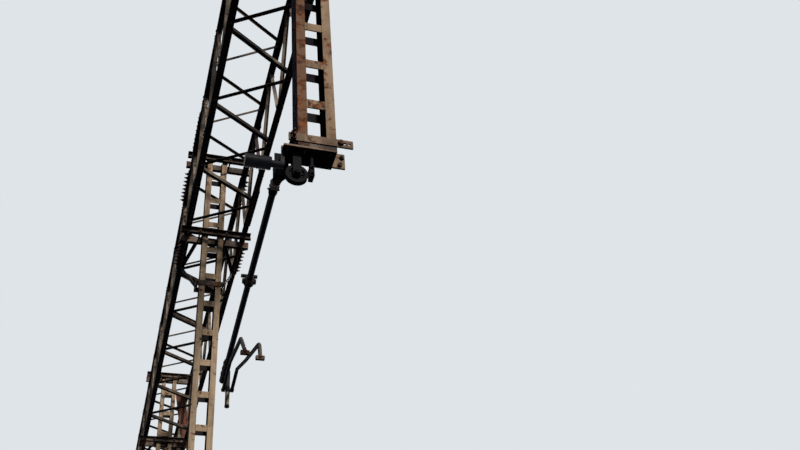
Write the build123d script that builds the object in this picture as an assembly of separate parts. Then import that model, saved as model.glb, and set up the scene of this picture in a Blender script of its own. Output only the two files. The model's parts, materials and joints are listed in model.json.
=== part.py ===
from build123d import *
import math
import os

# A railway catenary portal: a riveted lattice crossbeam on two lattice columns, spanning the tracks, with three
# battened drop posts that hang from it and carry the cantilevers of the overhead line.
# X runs along the track, Y along the crossbeam and Z up. The origin is on the ground under the near column.
# All sizes are in millimetres.

# Crossbeam
BAY = 960.0                      # lacing pitch
BEAM_BAYS = 20                   # from one column's axis to the other's
BEAM_UNDERSIDE = 8900.0          # above the ground
BEAM_WIDTH = 700.0               # over the chords, along the track
BEAM_HEIGHT = 1080.0
BEAM_CHORD_LEG = 65.0
BEAM_CHORD_THICKNESS = 7.0
BEAM_BAR_LEG = 40.0
TOP_BAR_LEG = 28.0               # the top side has lighter bars
BEAM_BAR_THICKNESS = 4.0
BEAM_END = 380.0                 # the chords reach this far past the column's axis
SPLICE_LENGTH = 620.0            # cover angles of the chords' bolted joint
SPLICE_THICKNESS = 8.0
SPLICE_SHIFT = 560.0             # from the middle post to the middle of the joint, towards the first post

# Columns
COLUMN_DEPTH = 500.0             # over the chords, along the crossbeam
COLUMN_BAYS = 11
COLUMN_CHORD_LEG = 80.0
COLUMN_CHORD_THICKNESS = 8.0
COLUMN_BAR_LEG = 45.0
COLUMN_BAR_THICKNESS = 5.0
BASE_LENGTH = 1060.0             # base plate along the track
BASE_WIDTH = 860.0
BASE_THICKNESS = 25.0
ANCHOR_EDGE = 70.0               # from a hole's middle to the plate's edges
ANCHOR_HOLE = 36.0
RIB_HEIGHT = 260.0
RIB_THICKNESS = 12.0
CAP_THICKNESS = 16.0
CAP_EDGE = 30.0                  # the cap plate stands out past the column

# How lacing bars meet the chords
BAR_END_GAUGE = 22.0             # from the chord's corner to the end of a bar
BAR_NODE_SHIFT = 32.0            # half the distance between two bars' ends at a node

# Drop posts: two channels with their webs outside, joined by battens
POST_NAMES = ("post_1", "post_2", "post_3")
POST_PLACES = (5250.0, 9760.0, 15220.0)
POST_ASIDES = (50.0, -33.0, -20.0)       # each is clamped a little off the crossbeam's middle
BATTEN_FIRSTS = (373.0, 415.0, 390.0)    # middle of the lowest batten above each post's foot
POST_WIDTH = 232.0               # along the track
POST_DEPTH = 140.0               # along the crossbeam
POST_FLANGE = 59.0
POST_WEB_THICKNESS = 7.0
POST_FLANGE_THICKNESS = 10.0
POST_HEAD = 90.0                 # above the crossbeam's top
POST_FOOT = 6018.0               # the channels' lower ends, above the ground
BATTEN_PITCH = 366.0
BATTEN_HEIGHT = 70.0
BATTEN_THICKNESS = 8.0
BATTEN_TOP_MARGIN = 130.0        # no batten stands nearer than this to the post's top
BATTEN_REAR_RISE = 20.0          # the rear battens sit a little higher than the front ones

# Clamp frames that hold a post to the crossbeam
CLAMP_OVERHANG = 45.0            # past the chords
CLAMP_HEIGHT = 80.0
CLAMP_FLANGE = 45.0
CLAMP_THICKNESS = 6.0

# Band of two flats and tie bolts round the post, under the crossbeam
BAND_DROP = 740.0                # its middle below the crossbeam's underside
BAND_HEIGHT = 60.0
BAND_THICKNESS = 12.0
BAND_OVERHANG = 45.0             # past the post's sides
BAND_BOLT = 16.0

# Post feet: two cross bars and the seat plate
FRONT_BAR_LEFT = 172.0
FRONT_BAR_RIGHT = 214.0
FRONT_BAR_HEIGHT = 58.0
FRONT_BAR_RISE = 34.0            # its lower edge above the post's foot
REAR_BAR_LEFT = 185.0
REAR_BAR_RIGHT = 203.0
REAR_BAR_HEIGHT = 117.0
REAR_BAR_RISE = 6.0
CROSS_BAR_THICKNESS = 12.0
CROSS_BAR_HOLE = 18.0            # three spare holes in the front bar's right end
SEAT_LEFT = 200.0
SEAT_OVERHANG = 8.0              # past the post's faces
SEAT_THICKNESS = 12.0

# Hinge of the cantilever, behind the foot's left end
HINGE_LEFT = 195.0
HINGE_BEHIND = 45.0              # pin's axis behind the bracket plate
HINGE_PIN = 20.0
HINGE_CLEARANCE = 0.05
EAR_WIDTH = 56.0
EAR_THICKNESS = 10.0
HINGE_DROP = 58.0                # cantilever's axis below the post's foot
HINGE_EYE_HEIGHT = 70.0
HINGE_EYE_DIAMETER = 54.0
HINGE_GAP = 2.0                  # between the eye and each ear
BRACKET_RIGHT = 56.0             # the bracket plate reaches this far right of the pin
CANTILEVER_SKEW = -1.4           # degrees, seen from above

# Cantilever: insulator, tube, clamp, drop bracket and two steady arms
INSULATOR_CORE = 32.0
INSULATOR_SHED = 64.0
SHED_EDGE = 8.0                  # a shed's thickness at its rim
SHED_ROOT = 18.0                 # and at the core
SHED_FIRST = 66.0                # first shed from the hinge's axis
SHED_PITCH = 36.0
SHED_COUNT = 2
INSULATOR_LENGTH = 170.0         # from the hinge's axis to the tube's start
SOCKET_DIAMETER = 52.0
SOCKET_LENGTH = 55.0
TUBE_DIAMETER = 42.0
TUBE_REACH = 2480.0              # from the hinge's axis to the tube's far end
MESSENGER_PLACE = 1100.0         # messenger clamp, from the hinge's axis
MESSENGER_LENGTH = 70.0
MESSENGER_WALL = 8.0
MESSENGER_LUG = 46.0             # the bolt lugs reach this far from the tube's axis
SADDLE_DIAMETER = 26.0
SADDLE_LENGTH = 110.0
COLLAR_LENGTH = 300.0            # long sleeve at the tube's far end
COLLAR_WALL = 7.0
DROP_BEFORE_END = 150.0          # drop tube from the tube's far end
DROP_ASIDE = 24.0                # to the right of the tube's axis
DROP_DIAMETER = 32.0
DROP_LENGTH = 310.0
PIVOT_DROP = 165.0               # steady arms' pivot below the tube's axis
PIVOT_PIN = 12.0
ARM_GAP = 5.0                    # between the drop tube and each arm
ARM_EYE_DIAMETER = 34.0
ARM_DIAMETER = 24.0
# Corners of each arm's axis from its pivot: aside, back towards the post, and up
LEFT_ARM = ((0.0, 375.0, 24.0), (4.0, 938.0, -110.0), (6.0, 1154.0, -335.0))
RIGHT_ARM = ((4.0, 250.0, 45.0), (22.0, 580.0, -70.0), (44.0, 1079.0, -225.0), (47.0, 1101.0, -335.0))
ARM_BEND = 60.0                  # bend radius
WIRE_CLAMP_LENGTH = 60.0
WIRE_CLAMP_HEIGHT = 30.0
WIRE_CLAMP_WIDTH = 22.0

# Wheel, guide and sleeve under the first post
PULLEY_LEFT = 113.0
PULLEY_DIAMETER = 135.0
PULLEY_WIDTH = 34.0
PULLEY_GROOVE = 10.0
PULLEY_WEB = 14.0                # thickness of the web between hub and rim
PULLEY_HUB = 52.0
PULLEY_RIM = 14.0                # rim's depth inwards of the groove
PULLEY_DROP = 165.0              # axle below the post's foot
PULLEY_AXLE = 20.0
CHEEK_THICKNESS = 6.0
CHEEK_WIDTH = 50.0
CHEEK_GAP = 5.0
GUIDE_CLEARANCE = 7.0            # between the wheel and the guide
GUIDE_RIGHT = 12.0
GUIDE_DEPTH = 60.0
GUIDE_DROP = 178.0               # its lower end below the post's foot
GUIDE_NECK = 14.0
GUIDE_HEAD_HEIGHT = 80.0
SLEEVE_DIAMETER = 78.0
SLEEVE_LENGTH = 150.0
SLEEVE_NECK = 44.0
SLEEVE_NECK_LENGTH = 60.0
SLEEVE_DROP = 104.0              # its axis below the post's foot
STRAP_WIDTH = 16.0
STRAP_DEPTH = 40.0

# Worked out from the sizes above
BEAM_TOP = BEAM_UNDERSIDE + BEAM_HEIGHT
SPAN = BAY * BEAM_BAYS
POST_TOP = BEAM_TOP + POST_HEAD
TUBE_LEVEL = POST_FOOT - HINGE_DROP
COLUMN_TOP = BEAM_UNDERSIDE - CAP_THICKNESS
COLUMN_LENGTH = COLUMN_TOP - BASE_THICKNESS
DROP_PLACE = TUBE_REACH - DROP_BEFORE_END
ARM_PIVOT_ASIDE = DROP_DIAMETER / 2 + ARM_GAP + ARM_DIAMETER / 2
GUIDE_LEFT = PULLEY_LEFT - PULLEY_DIAMETER / 2 - GUIDE_CLEARANCE

os.makedirs("parts", exist_ok=True)


def save(name, solids):
    """Writes one node, made of one solid or of several that don't touch."""
    solids = list(solids)
    shape = solids[0] if len(solids) == 1 else Compound(children=solids)
    export_step(shape, f"parts/{name}.step")


def block(x0, x1, y0, y1, z0, z1):
    """A rectangular solid between two corners."""
    middle = Location(((x0 + x1) / 2, (y0 + y1) / 2, (z0 + z1) / 2))
    return middle * Solid.make_box(x1 - x0, y1 - y0, z1 - z0, Plane((-(x1 - x0) / 2, -(y1 - y0) / 2, -(z1 - z0) / 2)))


def rod(start, end, diameter):
    """A round bar between two points."""
    along = Vector(*end) - Vector(*start)
    return Solid.make_cylinder(diameter / 2, along.length, Plane(origin=start, z_dir=along))


def angle_face(leg, thickness):
    """Section of an equal angle with its corner at the origin."""
    return make_face(Polyline(
        (0, 0), (leg, 0), (leg, thickness), (thickness, thickness), (thickness, leg), (0, leg), close=True))


def channel_face(height, flange, web, flange_thickness):
    """Section of a channel: web along Y on X = 0, flanges towards +X."""
    h = height / 2
    return make_face(Polyline(
        (0, -h), (flange, -h), (flange, -h + flange_thickness), (web, -h + flange_thickness),
        (web, h - flange_thickness), (flange, h - flange_thickness), (flange, h), (0, h), close=True))


def prism(plane, section, length):
    """A section drawn on a plane and drawn out along the plane's normal."""
    return extrude(plane * section, amount=length).solid()


# A lattice girder lies along its own Z, with its four chords at the corners of width by depth.
# Its sides are numbered so that each side's first chord is the side before's second one.
CORNERS = ((-1, -1), (1, -1), (1, 1), (-1, 1))


def girder_chord(corner, width, depth, leg, thickness, start, length):
    """One corner angle, its legs along the two sides."""
    sx, sy = CORNERS[corner]
    plane = Plane(origin=(sx * width / 2, sy * depth / 2, start), x_dir=(-sx, 0, 0), z_dir=(0, 0, 1))
    section = angle_face(leg, thickness)
    if sx * sy < 0:
        section = section.mirror(Plane.XZ)
    return prism(plane, section, length)


def girder_side(side, width, depth, chord_thickness, leg, thickness, pitch, bays, blocked):
    """The lacing bars of one side, each an angle laid on the chords' inner faces."""
    a, b = Vector(*CORNERS[side]), Vector(*CORNERS[(side + 1) % 4])
    a, b = Vector(a.X * width / 2, a.Y * depth / 2), Vector(b.X * width / 2, b.Y * depth / 2)
    across = (b - a).normalized()
    inward = Vector(-across.Y, across.X)
    first = a + across * BAR_END_GAUGE + inward * chord_thickness
    second = b - across * BAR_END_GAUGE + inward * chord_thickness
    up = Vector(0, 0, 1)
    bars = []
    for bay in range(bays):
        low, middle, high = bay * pitch, (bay + 0.5) * pitch, (bay + 1) * pitch
        ends = (
            (first + up * (low + BAR_NODE_SHIFT), second + up * (middle - BAR_NODE_SHIFT)),
            (second + up * (middle + BAR_NODE_SHIFT), first + up * (high - BAR_NODE_SHIFT)),
        )
        for start, end in ends:
            if blocked(start, end):
                continue
            along = (end - start).normalized()
            edge = along.cross(inward)
            plane = Plane(origin=start - edge * (leg / 2), x_dir=edge, z_dir=along)
            section = angle_face(leg, thickness)
            if plane.y_dir.dot(inward) < 0:
                section = section.mirror(Plane.XZ)
            bars.append(prism(plane, section, (end - start).length))
    return bars


def free(start, end):
    """No bar is left out."""
    return False


def meets_post(start, end):
    """A bar that would run through a drop post is left out, where the clamp frame does its work."""
    reach_x = POST_WIDTH / 2 + BEAM_BAR_LEG / 2
    reach_y = POST_DEPTH / 2 + BEAM_BAR_LEG
    for place, aside in zip(POST_PLACES, POST_ASIDES):
        for step in range(25):
            point = start + (end - start) * (step / 24)
            if abs(point.X - aside) < reach_x and abs(point.Z - place) < reach_y:
                return True
    return False


# Crossbeam: corner 0 is left at the bottom, 1 right at the bottom, 2 right at the top and 3 left at the top
def on_beam(solid):
    """Carries a girder's own Z onto +Y and its own Y onto +Z."""
    turned = solid.mirror(Plane.XZ).rotate(Axis.X, -90)
    return Location((0, 0, (BEAM_UNDERSIDE + BEAM_TOP) / 2)) * turned


CHORD_NAMES = ("bottom_left_chord", "bottom_right_chord", "top_right_chord", "top_left_chord")
SIDE_NAMES = ("bottom_lacing", "right_lacing", "top_lacing", "left_lacing")
for corner, name in enumerate(CHORD_NAMES):
    chord = girder_chord(
        corner, BEAM_WIDTH, BEAM_HEIGHT, BEAM_CHORD_LEG, BEAM_CHORD_THICKNESS,
        -BEAM_END, SPAN + 2 * BEAM_END)
    save(name, [on_beam(chord)])
for side, name in enumerate(SIDE_NAMES):
    bars = girder_side(
        side, BEAM_WIDTH, BEAM_HEIGHT, BEAM_CHORD_THICKNESS, TOP_BAR_LEG if side == 2 else BEAM_BAR_LEG,
        BEAM_BAR_THICKNESS, BAY, BEAM_BAYS, meets_post if side in (0, 2) else free)
    save(name, [on_beam(bar) for bar in bars])

# Bolted joint of the chords: an outer cover angle on each
splice_middle = POST_PLACES[1] - SPLICE_SHIFT
covers = []
for corner in range(4):
    cover = girder_chord(
        corner, BEAM_WIDTH + 2 * SPLICE_THICKNESS, BEAM_HEIGHT + 2 * SPLICE_THICKNESS,
        BEAM_CHORD_LEG + SPLICE_THICKNESS, SPLICE_THICKNESS,
        splice_middle - SPLICE_LENGTH / 2, SPLICE_LENGTH)
    covers.append(on_beam(cover))
save("chord_splices", covers)

# End frames of the crossbeam: flats inside the chords, as a rectangle in each end plane
inside_x = BEAM_WIDTH / 2 - BEAM_CHORD_THICKNESS
inside_low = BEAM_UNDERSIDE + BEAM_CHORD_THICKNESS
inside_high = BEAM_TOP - BEAM_CHORD_THICKNESS
for y_end, inward, name in ((-BEAM_END, 1, "near_end_frame"), (SPAN + BEAM_END, -1, "far_end_frame")):
    y0, y1 = sorted((y_end, y_end + inward * BEAM_CHORD_LEG))
    outline = block(-inside_x, inside_x, y0, y1, inside_low, inside_high)
    opening = block(
        -inside_x + BEAM_CHORD_THICKNESS, inside_x - BEAM_CHORD_THICKNESS, y0, y1,
        inside_low + BEAM_CHORD_THICKNESS, inside_high - BEAM_CHORD_THICKNESS)
    save(name, [(outline - opening).solid()])

# Columns
column_bay = COLUMN_LENGTH / COLUMN_BAYS
COLUMN_SIDES = ("near_lacing", "right_lacing", "far_lacing", "left_lacing")
for column_y, column in ((0, "near_column"), (SPAN, "far_column")):
    place = Location((0, column_y, BASE_THICKNESS))
    chords = [
        place * girder_chord(
            corner, BEAM_WIDTH, COLUMN_DEPTH, COLUMN_CHORD_LEG, COLUMN_CHORD_THICKNESS, 0, COLUMN_LENGTH)
        for corner in range(4)
    ]
    save(f"{column}_chords", chords)
    for side, name in enumerate(COLUMN_SIDES):
        bars = girder_side(
            side, BEAM_WIDTH, COLUMN_DEPTH, COLUMN_CHORD_THICKNESS, COLUMN_BAR_LEG, COLUMN_BAR_THICKNESS,
            column_bay, COLUMN_BAYS, free)
        save(f"{column}_{name}", [place * bar for bar in bars])
    plate = block(-BASE_LENGTH / 2, BASE_LENGTH / 2, -BASE_WIDTH / 2, BASE_WIDTH / 2, 0, BASE_THICKNESS)
    for sx, sy in CORNERS:
        hole = Solid.make_cylinder(ANCHOR_HOLE / 2, BASE_THICKNESS)
        plate -= Location((sx * (BASE_LENGTH / 2 - ANCHOR_EDGE), sy * (BASE_WIDTH / 2 - ANCHOR_EDGE), 0)) * hole
    for sx, sy in CORNERS:
        rib = make_face(Polyline(
            (0, 0), ((BASE_LENGTH - BEAM_WIDTH) / 2 - CAP_EDGE, 0), (0, RIB_HEIGHT), close=True))
        x_root = sx * BEAM_WIDTH / 2
        y_rib = sy * (COLUMN_DEPTH / 2 - COLUMN_CHORD_LEG / 2)
        plane = Plane(
            origin=(x_root, y_rib + sx * RIB_THICKNESS / 2, BASE_THICKNESS), x_dir=(sx, 0, 0), z_dir=(0, -sx, 0))
        plate += prism(plane, rib, RIB_THICKNESS)
    save(f"{column}_base", [Location((0, column_y, 0)) * plate.solid()])
    cap = block(
        -BEAM_WIDTH / 2 - CAP_EDGE, BEAM_WIDTH / 2 + CAP_EDGE, -COLUMN_DEPTH / 2 - CAP_EDGE,
        COLUMN_DEPTH / 2 + CAP_EDGE, COLUMN_TOP, BEAM_UNDERSIDE)
    save(f"{column}_cap", [Location((0, column_y, 0)) * cap])


def post_channels():
    """Two channels with their webs outside."""
    section = channel_face(POST_DEPTH, POST_FLANGE, POST_WEB_THICKNESS, POST_FLANGE_THICKNESS)
    length = POST_TOP - POST_FOOT
    left = prism(Plane(origin=(-POST_WIDTH / 2, 0, POST_FOOT)), section, length)
    return [left, left.mirror(Plane.YZ)]


def post_battens(first):
    """Battens between the flange toes, flush with the flanges, in front and behind."""
    reach = POST_WIDTH / 2 - POST_FLANGE
    count = int((POST_TOP - BATTEN_TOP_MARGIN - POST_FOOT - first) / BATTEN_PITCH) + 1
    battens = []
    for number in range(count):
        for sign, rise in ((-1, 0), (1, BATTEN_REAR_RISE)):
            middle = POST_FOOT + first + number * BATTEN_PITCH + rise
            y0, y1 = sorted((sign * POST_DEPTH / 2, sign * (POST_DEPTH / 2 - BATTEN_THICKNESS)))
            battens.append(block(
                -reach, reach, y0, y1, middle - BATTEN_HEIGHT / 2, middle + BATTEN_HEIGHT / 2))
    return battens


def post_clamps(aside):
    """Two channels across the chords, in front of and behind the post, above and below the crossbeam."""
    reach = BEAM_WIDTH / 2 + CLAMP_OVERHANG
    section = channel_face(CLAMP_HEIGHT, CLAMP_FLANGE, CLAMP_THICKNESS, CLAMP_THICKNESS)
    solids = []
    for level in (BEAM_UNDERSIDE - CLAMP_HEIGHT / 2, BEAM_TOP + CLAMP_HEIGHT / 2):
        back = Plane(origin=(-reach - aside, POST_DEPTH / 2, level), x_dir=(0, 1, 0), z_dir=(1, 0, 0))
        channel = prism(back, section, 2 * reach)
        solids += [channel, channel.mirror(Plane.XZ)]
        for sign in (-1, 1):
            inner = sign * POST_WIDTH / 2
            outer = inner + sign * SPLICE_THICKNESS
            solids.append(block(
                min(inner, outer), max(inner, outer), -POST_DEPTH / 2, POST_DEPTH / 2,
                level - CLAMP_HEIGHT / 2, level + CLAMP_HEIGHT / 2))
    return solids


def post_band():
    """Two flats across the post's faces, drawn together by a bolt on each side."""
    level = BEAM_UNDERSIDE - BAND_DROP
    reach = POST_WIDTH / 2 + BAND_OVERHANG
    front = block(-reach, reach, -POST_DEPTH / 2 - BAND_THICKNESS, -POST_DEPTH / 2,
                  level - BAND_HEIGHT / 2, level + BAND_HEIGHT / 2)
    band = front + front.mirror(Plane.XZ)
    bolt_x = POST_WIDTH / 2 + BAND_OVERHANG / 2
    for x in (-bolt_x, bolt_x):
        band += rod((x, -POST_DEPTH / 2 - 2 * BAND_THICKNESS, level), (x, POST_DEPTH / 2 + 2 * BAND_THICKNESS, level),
                    BAND_BOLT)
    return band.solid()


def post_foot(spare_holes):
    """A cross bar on each of the post's faces, and the seat plate under its end."""
    low = POST_FOOT + FRONT_BAR_RISE
    face = POST_DEPTH / 2
    front = block(-FRONT_BAR_LEFT, FRONT_BAR_RIGHT, -face - CROSS_BAR_THICKNESS, -face, low, low + FRONT_BAR_HEIGHT)
    for place in range(spare_holes):
        x = POST_WIDTH / 2 + (FRONT_BAR_RIGHT - POST_WIDTH / 2) * (place + 1) / (spare_holes + 1)
        level = low + FRONT_BAR_HEIGHT / 2
        front -= rod((x, -face - CROSS_BAR_THICKNESS, level), (x, -face, level), CROSS_BAR_HOLE)
    low = POST_FOOT + REAR_BAR_RISE
    rear = block(-REAR_BAR_LEFT, REAR_BAR_RIGHT, face, face + CROSS_BAR_THICKNESS, low, low + REAR_BAR_HEIGHT)
    seat = block(-SEAT_LEFT, POST_WIDTH / 2, -face - SEAT_OVERHANG, face + SEAT_OVERHANG,
                 POST_FOOT - SEAT_THICKNESS, POST_FOOT)
    return [front.solid(), rear, seat]


def hinge_bracket():
    """A plate on the rear cross bar with two ears and the upright pin of the cantilever."""
    plate_y = POST_DEPTH / 2 + CROSS_BAR_THICKNESS
    ear_gap = HINGE_EYE_HEIGHT / 2 + HINGE_GAP
    low = TUBE_LEVEL - ear_gap - EAR_THICKNESS
    high = POST_FOOT + REAR_BAR_RISE + REAR_BAR_HEIGHT / 2
    left, right = -HINGE_LEFT - EAR_WIDTH / 2, -HINGE_LEFT + BRACKET_RIGHT
    pin_y = plate_y + EAR_THICKNESS + HINGE_BEHIND
    bracket = block(left, right, plate_y, plate_y + EAR_THICKNESS, low, high)
    for level in (low, TUBE_LEVEL + ear_gap):
        outline = make_face(Polyline(
            (left, plate_y + EAR_THICKNESS), (right, plate_y + EAR_THICKNESS), (-HINGE_LEFT + EAR_WIDTH / 2, pin_y),
            (left, pin_y), close=True))
        bracket += prism(Plane(origin=(0, 0, level)), outline, EAR_THICKNESS)
        bracket += rod((-HINGE_LEFT, pin_y, level), (-HINGE_LEFT, pin_y, level + EAR_THICKNESS), EAR_WIDTH)
    bracket += rod((-HINGE_LEFT, pin_y, low - EAR_THICKNESS),
                   (-HINGE_LEFT, pin_y, TUBE_LEVEL + ear_gap + 2 * EAR_THICKNESS), HINGE_PIN)
    return bracket.solid()


# The cantilever is drawn from its hinge's axis along +Y at its own level, then turned by its skew and set in place
def turned_profile(points):
    """A solid turned about the cantilever's own Y, from its outline as pairs of distance along and radius."""
    outline = make_face(Polyline([(radius, along) for along, radius in points], close=True))
    return revolve(outline, Axis.Y).solid()


def cantilever_insulator(bored):
    """Hinge eye, socket, core with two sheds, and the end socket that takes the tube."""
    core, shed, socket = INSULATOR_CORE / 2, INSULATOR_SHED / 2, SOCKET_DIAMETER / 2
    outline = [(0, 0), (0, core)]
    for number in range(SHED_COUNT):
        middle = SHED_FIRST + number * SHED_PITCH
        outline += [
            (middle - SHED_ROOT / 2, core), (middle - SHED_EDGE / 2, shed),
            (middle + SHED_EDGE / 2, shed), (middle + SHED_ROOT / 2, core)]
    outline += [
        (INSULATOR_LENGTH - SOCKET_LENGTH, core), (INSULATOR_LENGTH - SOCKET_LENGTH, socket),
        (INSULATOR_LENGTH, socket), (INSULATOR_LENGTH, 0)]
    body = turned_profile(outline)
    eye_place = Location((0, 0, -HINGE_EYE_HEIGHT / 2))
    body += eye_place * Solid.make_cylinder(HINGE_EYE_DIAMETER / 2, HINGE_EYE_HEIGHT)
    if bored:
        body -= eye_place * Solid.make_cylinder(HINGE_PIN / 2 + HINGE_CLEARANCE, HINGE_EYE_HEIGHT)
    return body.solid()


def cantilever_tube():
    """The long tube, a plain round bar here, from the insulator's socket to its far end."""
    return rod((0, INSULATOR_LENGTH, 0), (0, TUBE_REACH, 0), TUBE_DIAMETER)


def messenger_clamp():
    """A collar round the tube with a bolt lug on each side and a saddle on top."""
    half = MESSENGER_LENGTH / 2
    outer = TUBE_DIAMETER / 2 + MESSENGER_WALL
    collar = rod((0, MESSENGER_PLACE - half, 0), (0, MESSENGER_PLACE + half, 0), 2 * outer)
    collar += block(-MESSENGER_LUG, MESSENGER_LUG, MESSENGER_PLACE - half / 2, MESSENGER_PLACE + half / 2,
                    -MESSENGER_WALL, MESSENGER_WALL)
    saddle_level = outer + SADDLE_DIAMETER / 2
    collar += block(-SADDLE_DIAMETER / 2, SADDLE_DIAMETER / 2, MESSENGER_PLACE - half / 2,
                    MESSENGER_PLACE + half / 2, 0, saddle_level)
    collar += rod((-SADDLE_LENGTH / 2, MESSENGER_PLACE, saddle_level),
                  (SADDLE_LENGTH / 2, MESSENGER_PLACE, saddle_level), SADDLE_DIAMETER)
    collar -= rod((0, MESSENGER_PLACE - half, 0), (0, MESSENGER_PLACE + half, 0), TUBE_DIAMETER)
    return collar.solid()


def drop_bracket():
    """The long collar on the tube's far end, the drop tube under it and the cross pin of the steady arms."""
    start = TUBE_REACH - COLLAR_LENGTH
    end = TUBE_REACH + COLLAR_WALL
    bracket = rod((0, start, 0), (0, end, 0), TUBE_DIAMETER + 2 * COLLAR_WALL)
    bracket += rod((DROP_ASIDE, DROP_PLACE, -DROP_LENGTH), (DROP_ASIDE, DROP_PLACE, 0), DROP_DIAMETER)
    reach = ARM_PIVOT_ASIDE + ARM_DIAMETER / 2 + ARM_GAP
    bracket += rod((DROP_ASIDE - reach, DROP_PLACE, -PIVOT_DROP), (DROP_ASIDE + reach, DROP_PLACE, -PIVOT_DROP),
                   PIVOT_PIN)
    bracket -= rod((0, start, 0), (0, TUBE_REACH, 0), TUBE_DIAMETER)
    return bracket.solid()


def steady_arm(side, corners, bored):
    """An eye on the cross pin, a cranked round arm of tangent bends, and the wire clamp at its end."""
    pivot = Vector(DROP_ASIDE + side * ARM_PIVOT_ASIDE, DROP_PLACE, -PIVOT_DROP)
    points = [pivot] + [pivot + Vector(aside, -back, up) for aside, back, up in corners]
    line = FilletPolyline(*points, radius=ARM_BEND)
    start = Plane(origin=points[0], z_dir=points[1] - points[0])
    arm = sweep(start * Circle(ARM_DIAMETER / 2), path=line).solid()
    width = Vector(ARM_DIAMETER / 2, 0, 0)
    arm += rod(pivot - width, pivot + width, ARM_EYE_DIAMETER)
    end = points[-1]
    arm += block(end.X - WIRE_CLAMP_LENGTH / 2, end.X + WIRE_CLAMP_LENGTH / 2, end.Y - WIRE_CLAMP_WIDTH / 2,
                 end.Y + WIRE_CLAMP_WIDTH / 2, end.Z - WIRE_CLAMP_HEIGHT, end.Z)
    if bored:
        through = Vector(ARM_DIAMETER / 2 + ARM_GAP, 0, 0)
        arm -= rod(pivot - through, pivot + through, PIVOT_PIN + 2 * HINGE_CLEARANCE)
    return arm.solid()


def pulley_stirrup():
    """Two cheeks and an axle hung from the seat plate."""
    top = POST_FOOT - SEAT_THICKNESS
    axle = POST_FOOT - PULLEY_DROP
    x = -PULLEY_LEFT
    inner = PULLEY_WIDTH / 2 + CHEEK_GAP
    outer = inner + CHEEK_THICKNESS
    stirrup = block(x - CHEEK_WIDTH / 2, x + CHEEK_WIDTH / 2, -outer, outer, top - CHEEK_THICKNESS, top)
    for sign in (-1, 1):
        y0, y1 = sorted((sign * inner, sign * outer))
        stirrup += block(x - CHEEK_WIDTH / 2, x + CHEEK_WIDTH / 2, y0, y1, axle, top)
        stirrup += rod((x, y0, axle), (x, y1, axle), CHEEK_WIDTH)
    stirrup += rod((x, -outer - CHEEK_THICKNESS, axle), (x, outer + CHEEK_THICKNESS, axle), PULLEY_AXLE)
    return stirrup.solid()


def pulley():
    """A cast wheel turned from one outline: hub with its bore, thin web, and rim with a groove."""
    radius, half = PULLEY_DIAMETER / 2, PULLEY_WIDTH / 2
    bore = PULLEY_AXLE / 2 + HINGE_CLEARANCE
    hub, web = PULLEY_HUB / 2, PULLEY_WEB / 2
    rim = radius - PULLEY_GROOVE - PULLEY_RIM
    outline = make_face(Polyline(
        (bore, -half), (hub, -half), (hub, -web), (rim, -web), (rim, -half), (radius, -half),
        (radius - PULLEY_GROOVE, 0), (radius, half), (rim, half), (rim, web), (hub, web), (hub, half), (bore, half),
        close=True))
    wheel = revolve(outline, Axis.Y).solid()
    return Location((-PULLEY_LEFT, 0, POST_FOOT - PULLEY_DROP)) * wheel


def wire_guide():
    """A clamp block on a neck under the seat plate, where the wire leaves the wheel."""
    middle = -(GUIDE_LEFT + GUIDE_RIGHT) / 2
    low = POST_FOOT - GUIDE_DROP
    head = block(-GUIDE_LEFT, -GUIDE_RIGHT, -GUIDE_DEPTH / 2, GUIDE_DEPTH / 2, low, low + GUIDE_HEAD_HEIGHT)
    head += block(middle - GUIDE_NECK / 2, middle + GUIDE_NECK / 2, -GUIDE_DEPTH / 2, GUIDE_DEPTH / 2,
                  low + GUIDE_HEAD_HEIGHT, POST_FOOT - SEAT_THICKNESS)
    return head.solid()


def wire_sleeve():
    """A thick sleeve on the wire's line with a neck, hung from the seat plate's left end by a strap."""
    strap_left = -SEAT_LEFT
    strap_right = strap_left + STRAP_WIDTH
    level = POST_FOOT - SLEEVE_DROP
    neck_start = strap_left - SLEEVE_NECK_LENGTH
    sleeve = rod((neck_start - SLEEVE_LENGTH, 0, level), (neck_start, 0, level), SLEEVE_DIAMETER)
    sleeve += rod((neck_start, 0, level), (strap_right, 0, level), SLEEVE_NECK)
    sleeve += block(strap_left, strap_right, -STRAP_DEPTH / 2, STRAP_DEPTH / 2, level, POST_FOOT - SEAT_THICKNESS)
    return sleeve.solid()


def set_cantilever(solid, post):
    """From the cantilever's own frame to its post."""
    pin_y = POST_DEPTH / 2 + CROSS_BAR_THICKNESS + EAR_THICKNESS + HINGE_BEHIND
    return post * Location((-HINGE_LEFT, pin_y, TUBE_LEVEL), (0, 0, CANTILEVER_SKEW)) * solid


for number, name in enumerate(POST_NAMES):
    aside = POST_ASIDES[number]
    post = Location((aside, POST_PLACES[number], 0))
    first = number == 0
    save(f"{name}_channels", [post * solid for solid in post_channels()])
    save(f"{name}_battens", [post * solid for solid in post_battens(BATTEN_FIRSTS[number])])
    save(f"{name}_clamps", [post * solid for solid in post_clamps(aside)])
    save(f"{name}_band", [post * post_band()])
    save(f"{name}_foot", [post * solid for solid in post_foot(3 if first else 0)])
    insulator = cantilever_insulator(first)
    arms = {
        "steady_arm_left": steady_arm(-1, LEFT_ARM, first),
        "steady_arm_right": steady_arm(1, RIGHT_ARM, first),
    }
    if first:
        save(f"{name}_hinge_bracket", [post * hinge_bracket()])
        pieces = {
            "insulator": insulator, "tube": cantilever_tube(), "messenger_clamp": messenger_clamp(),
            "drop_bracket": drop_bracket(), **arms}
        for piece, solid in pieces.items():
            save(piece, [set_cantilever(solid, post)])
    else:
        fixed = insulator + cantilever_tube() + messenger_clamp() + drop_bracket()
        for arm in arms.values():
            fixed += arm
        whole = set_cantilever(fixed.solid(), post) + post * hinge_bracket()
        save(f"{name}_cantilever", [whole.solid()])

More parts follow.
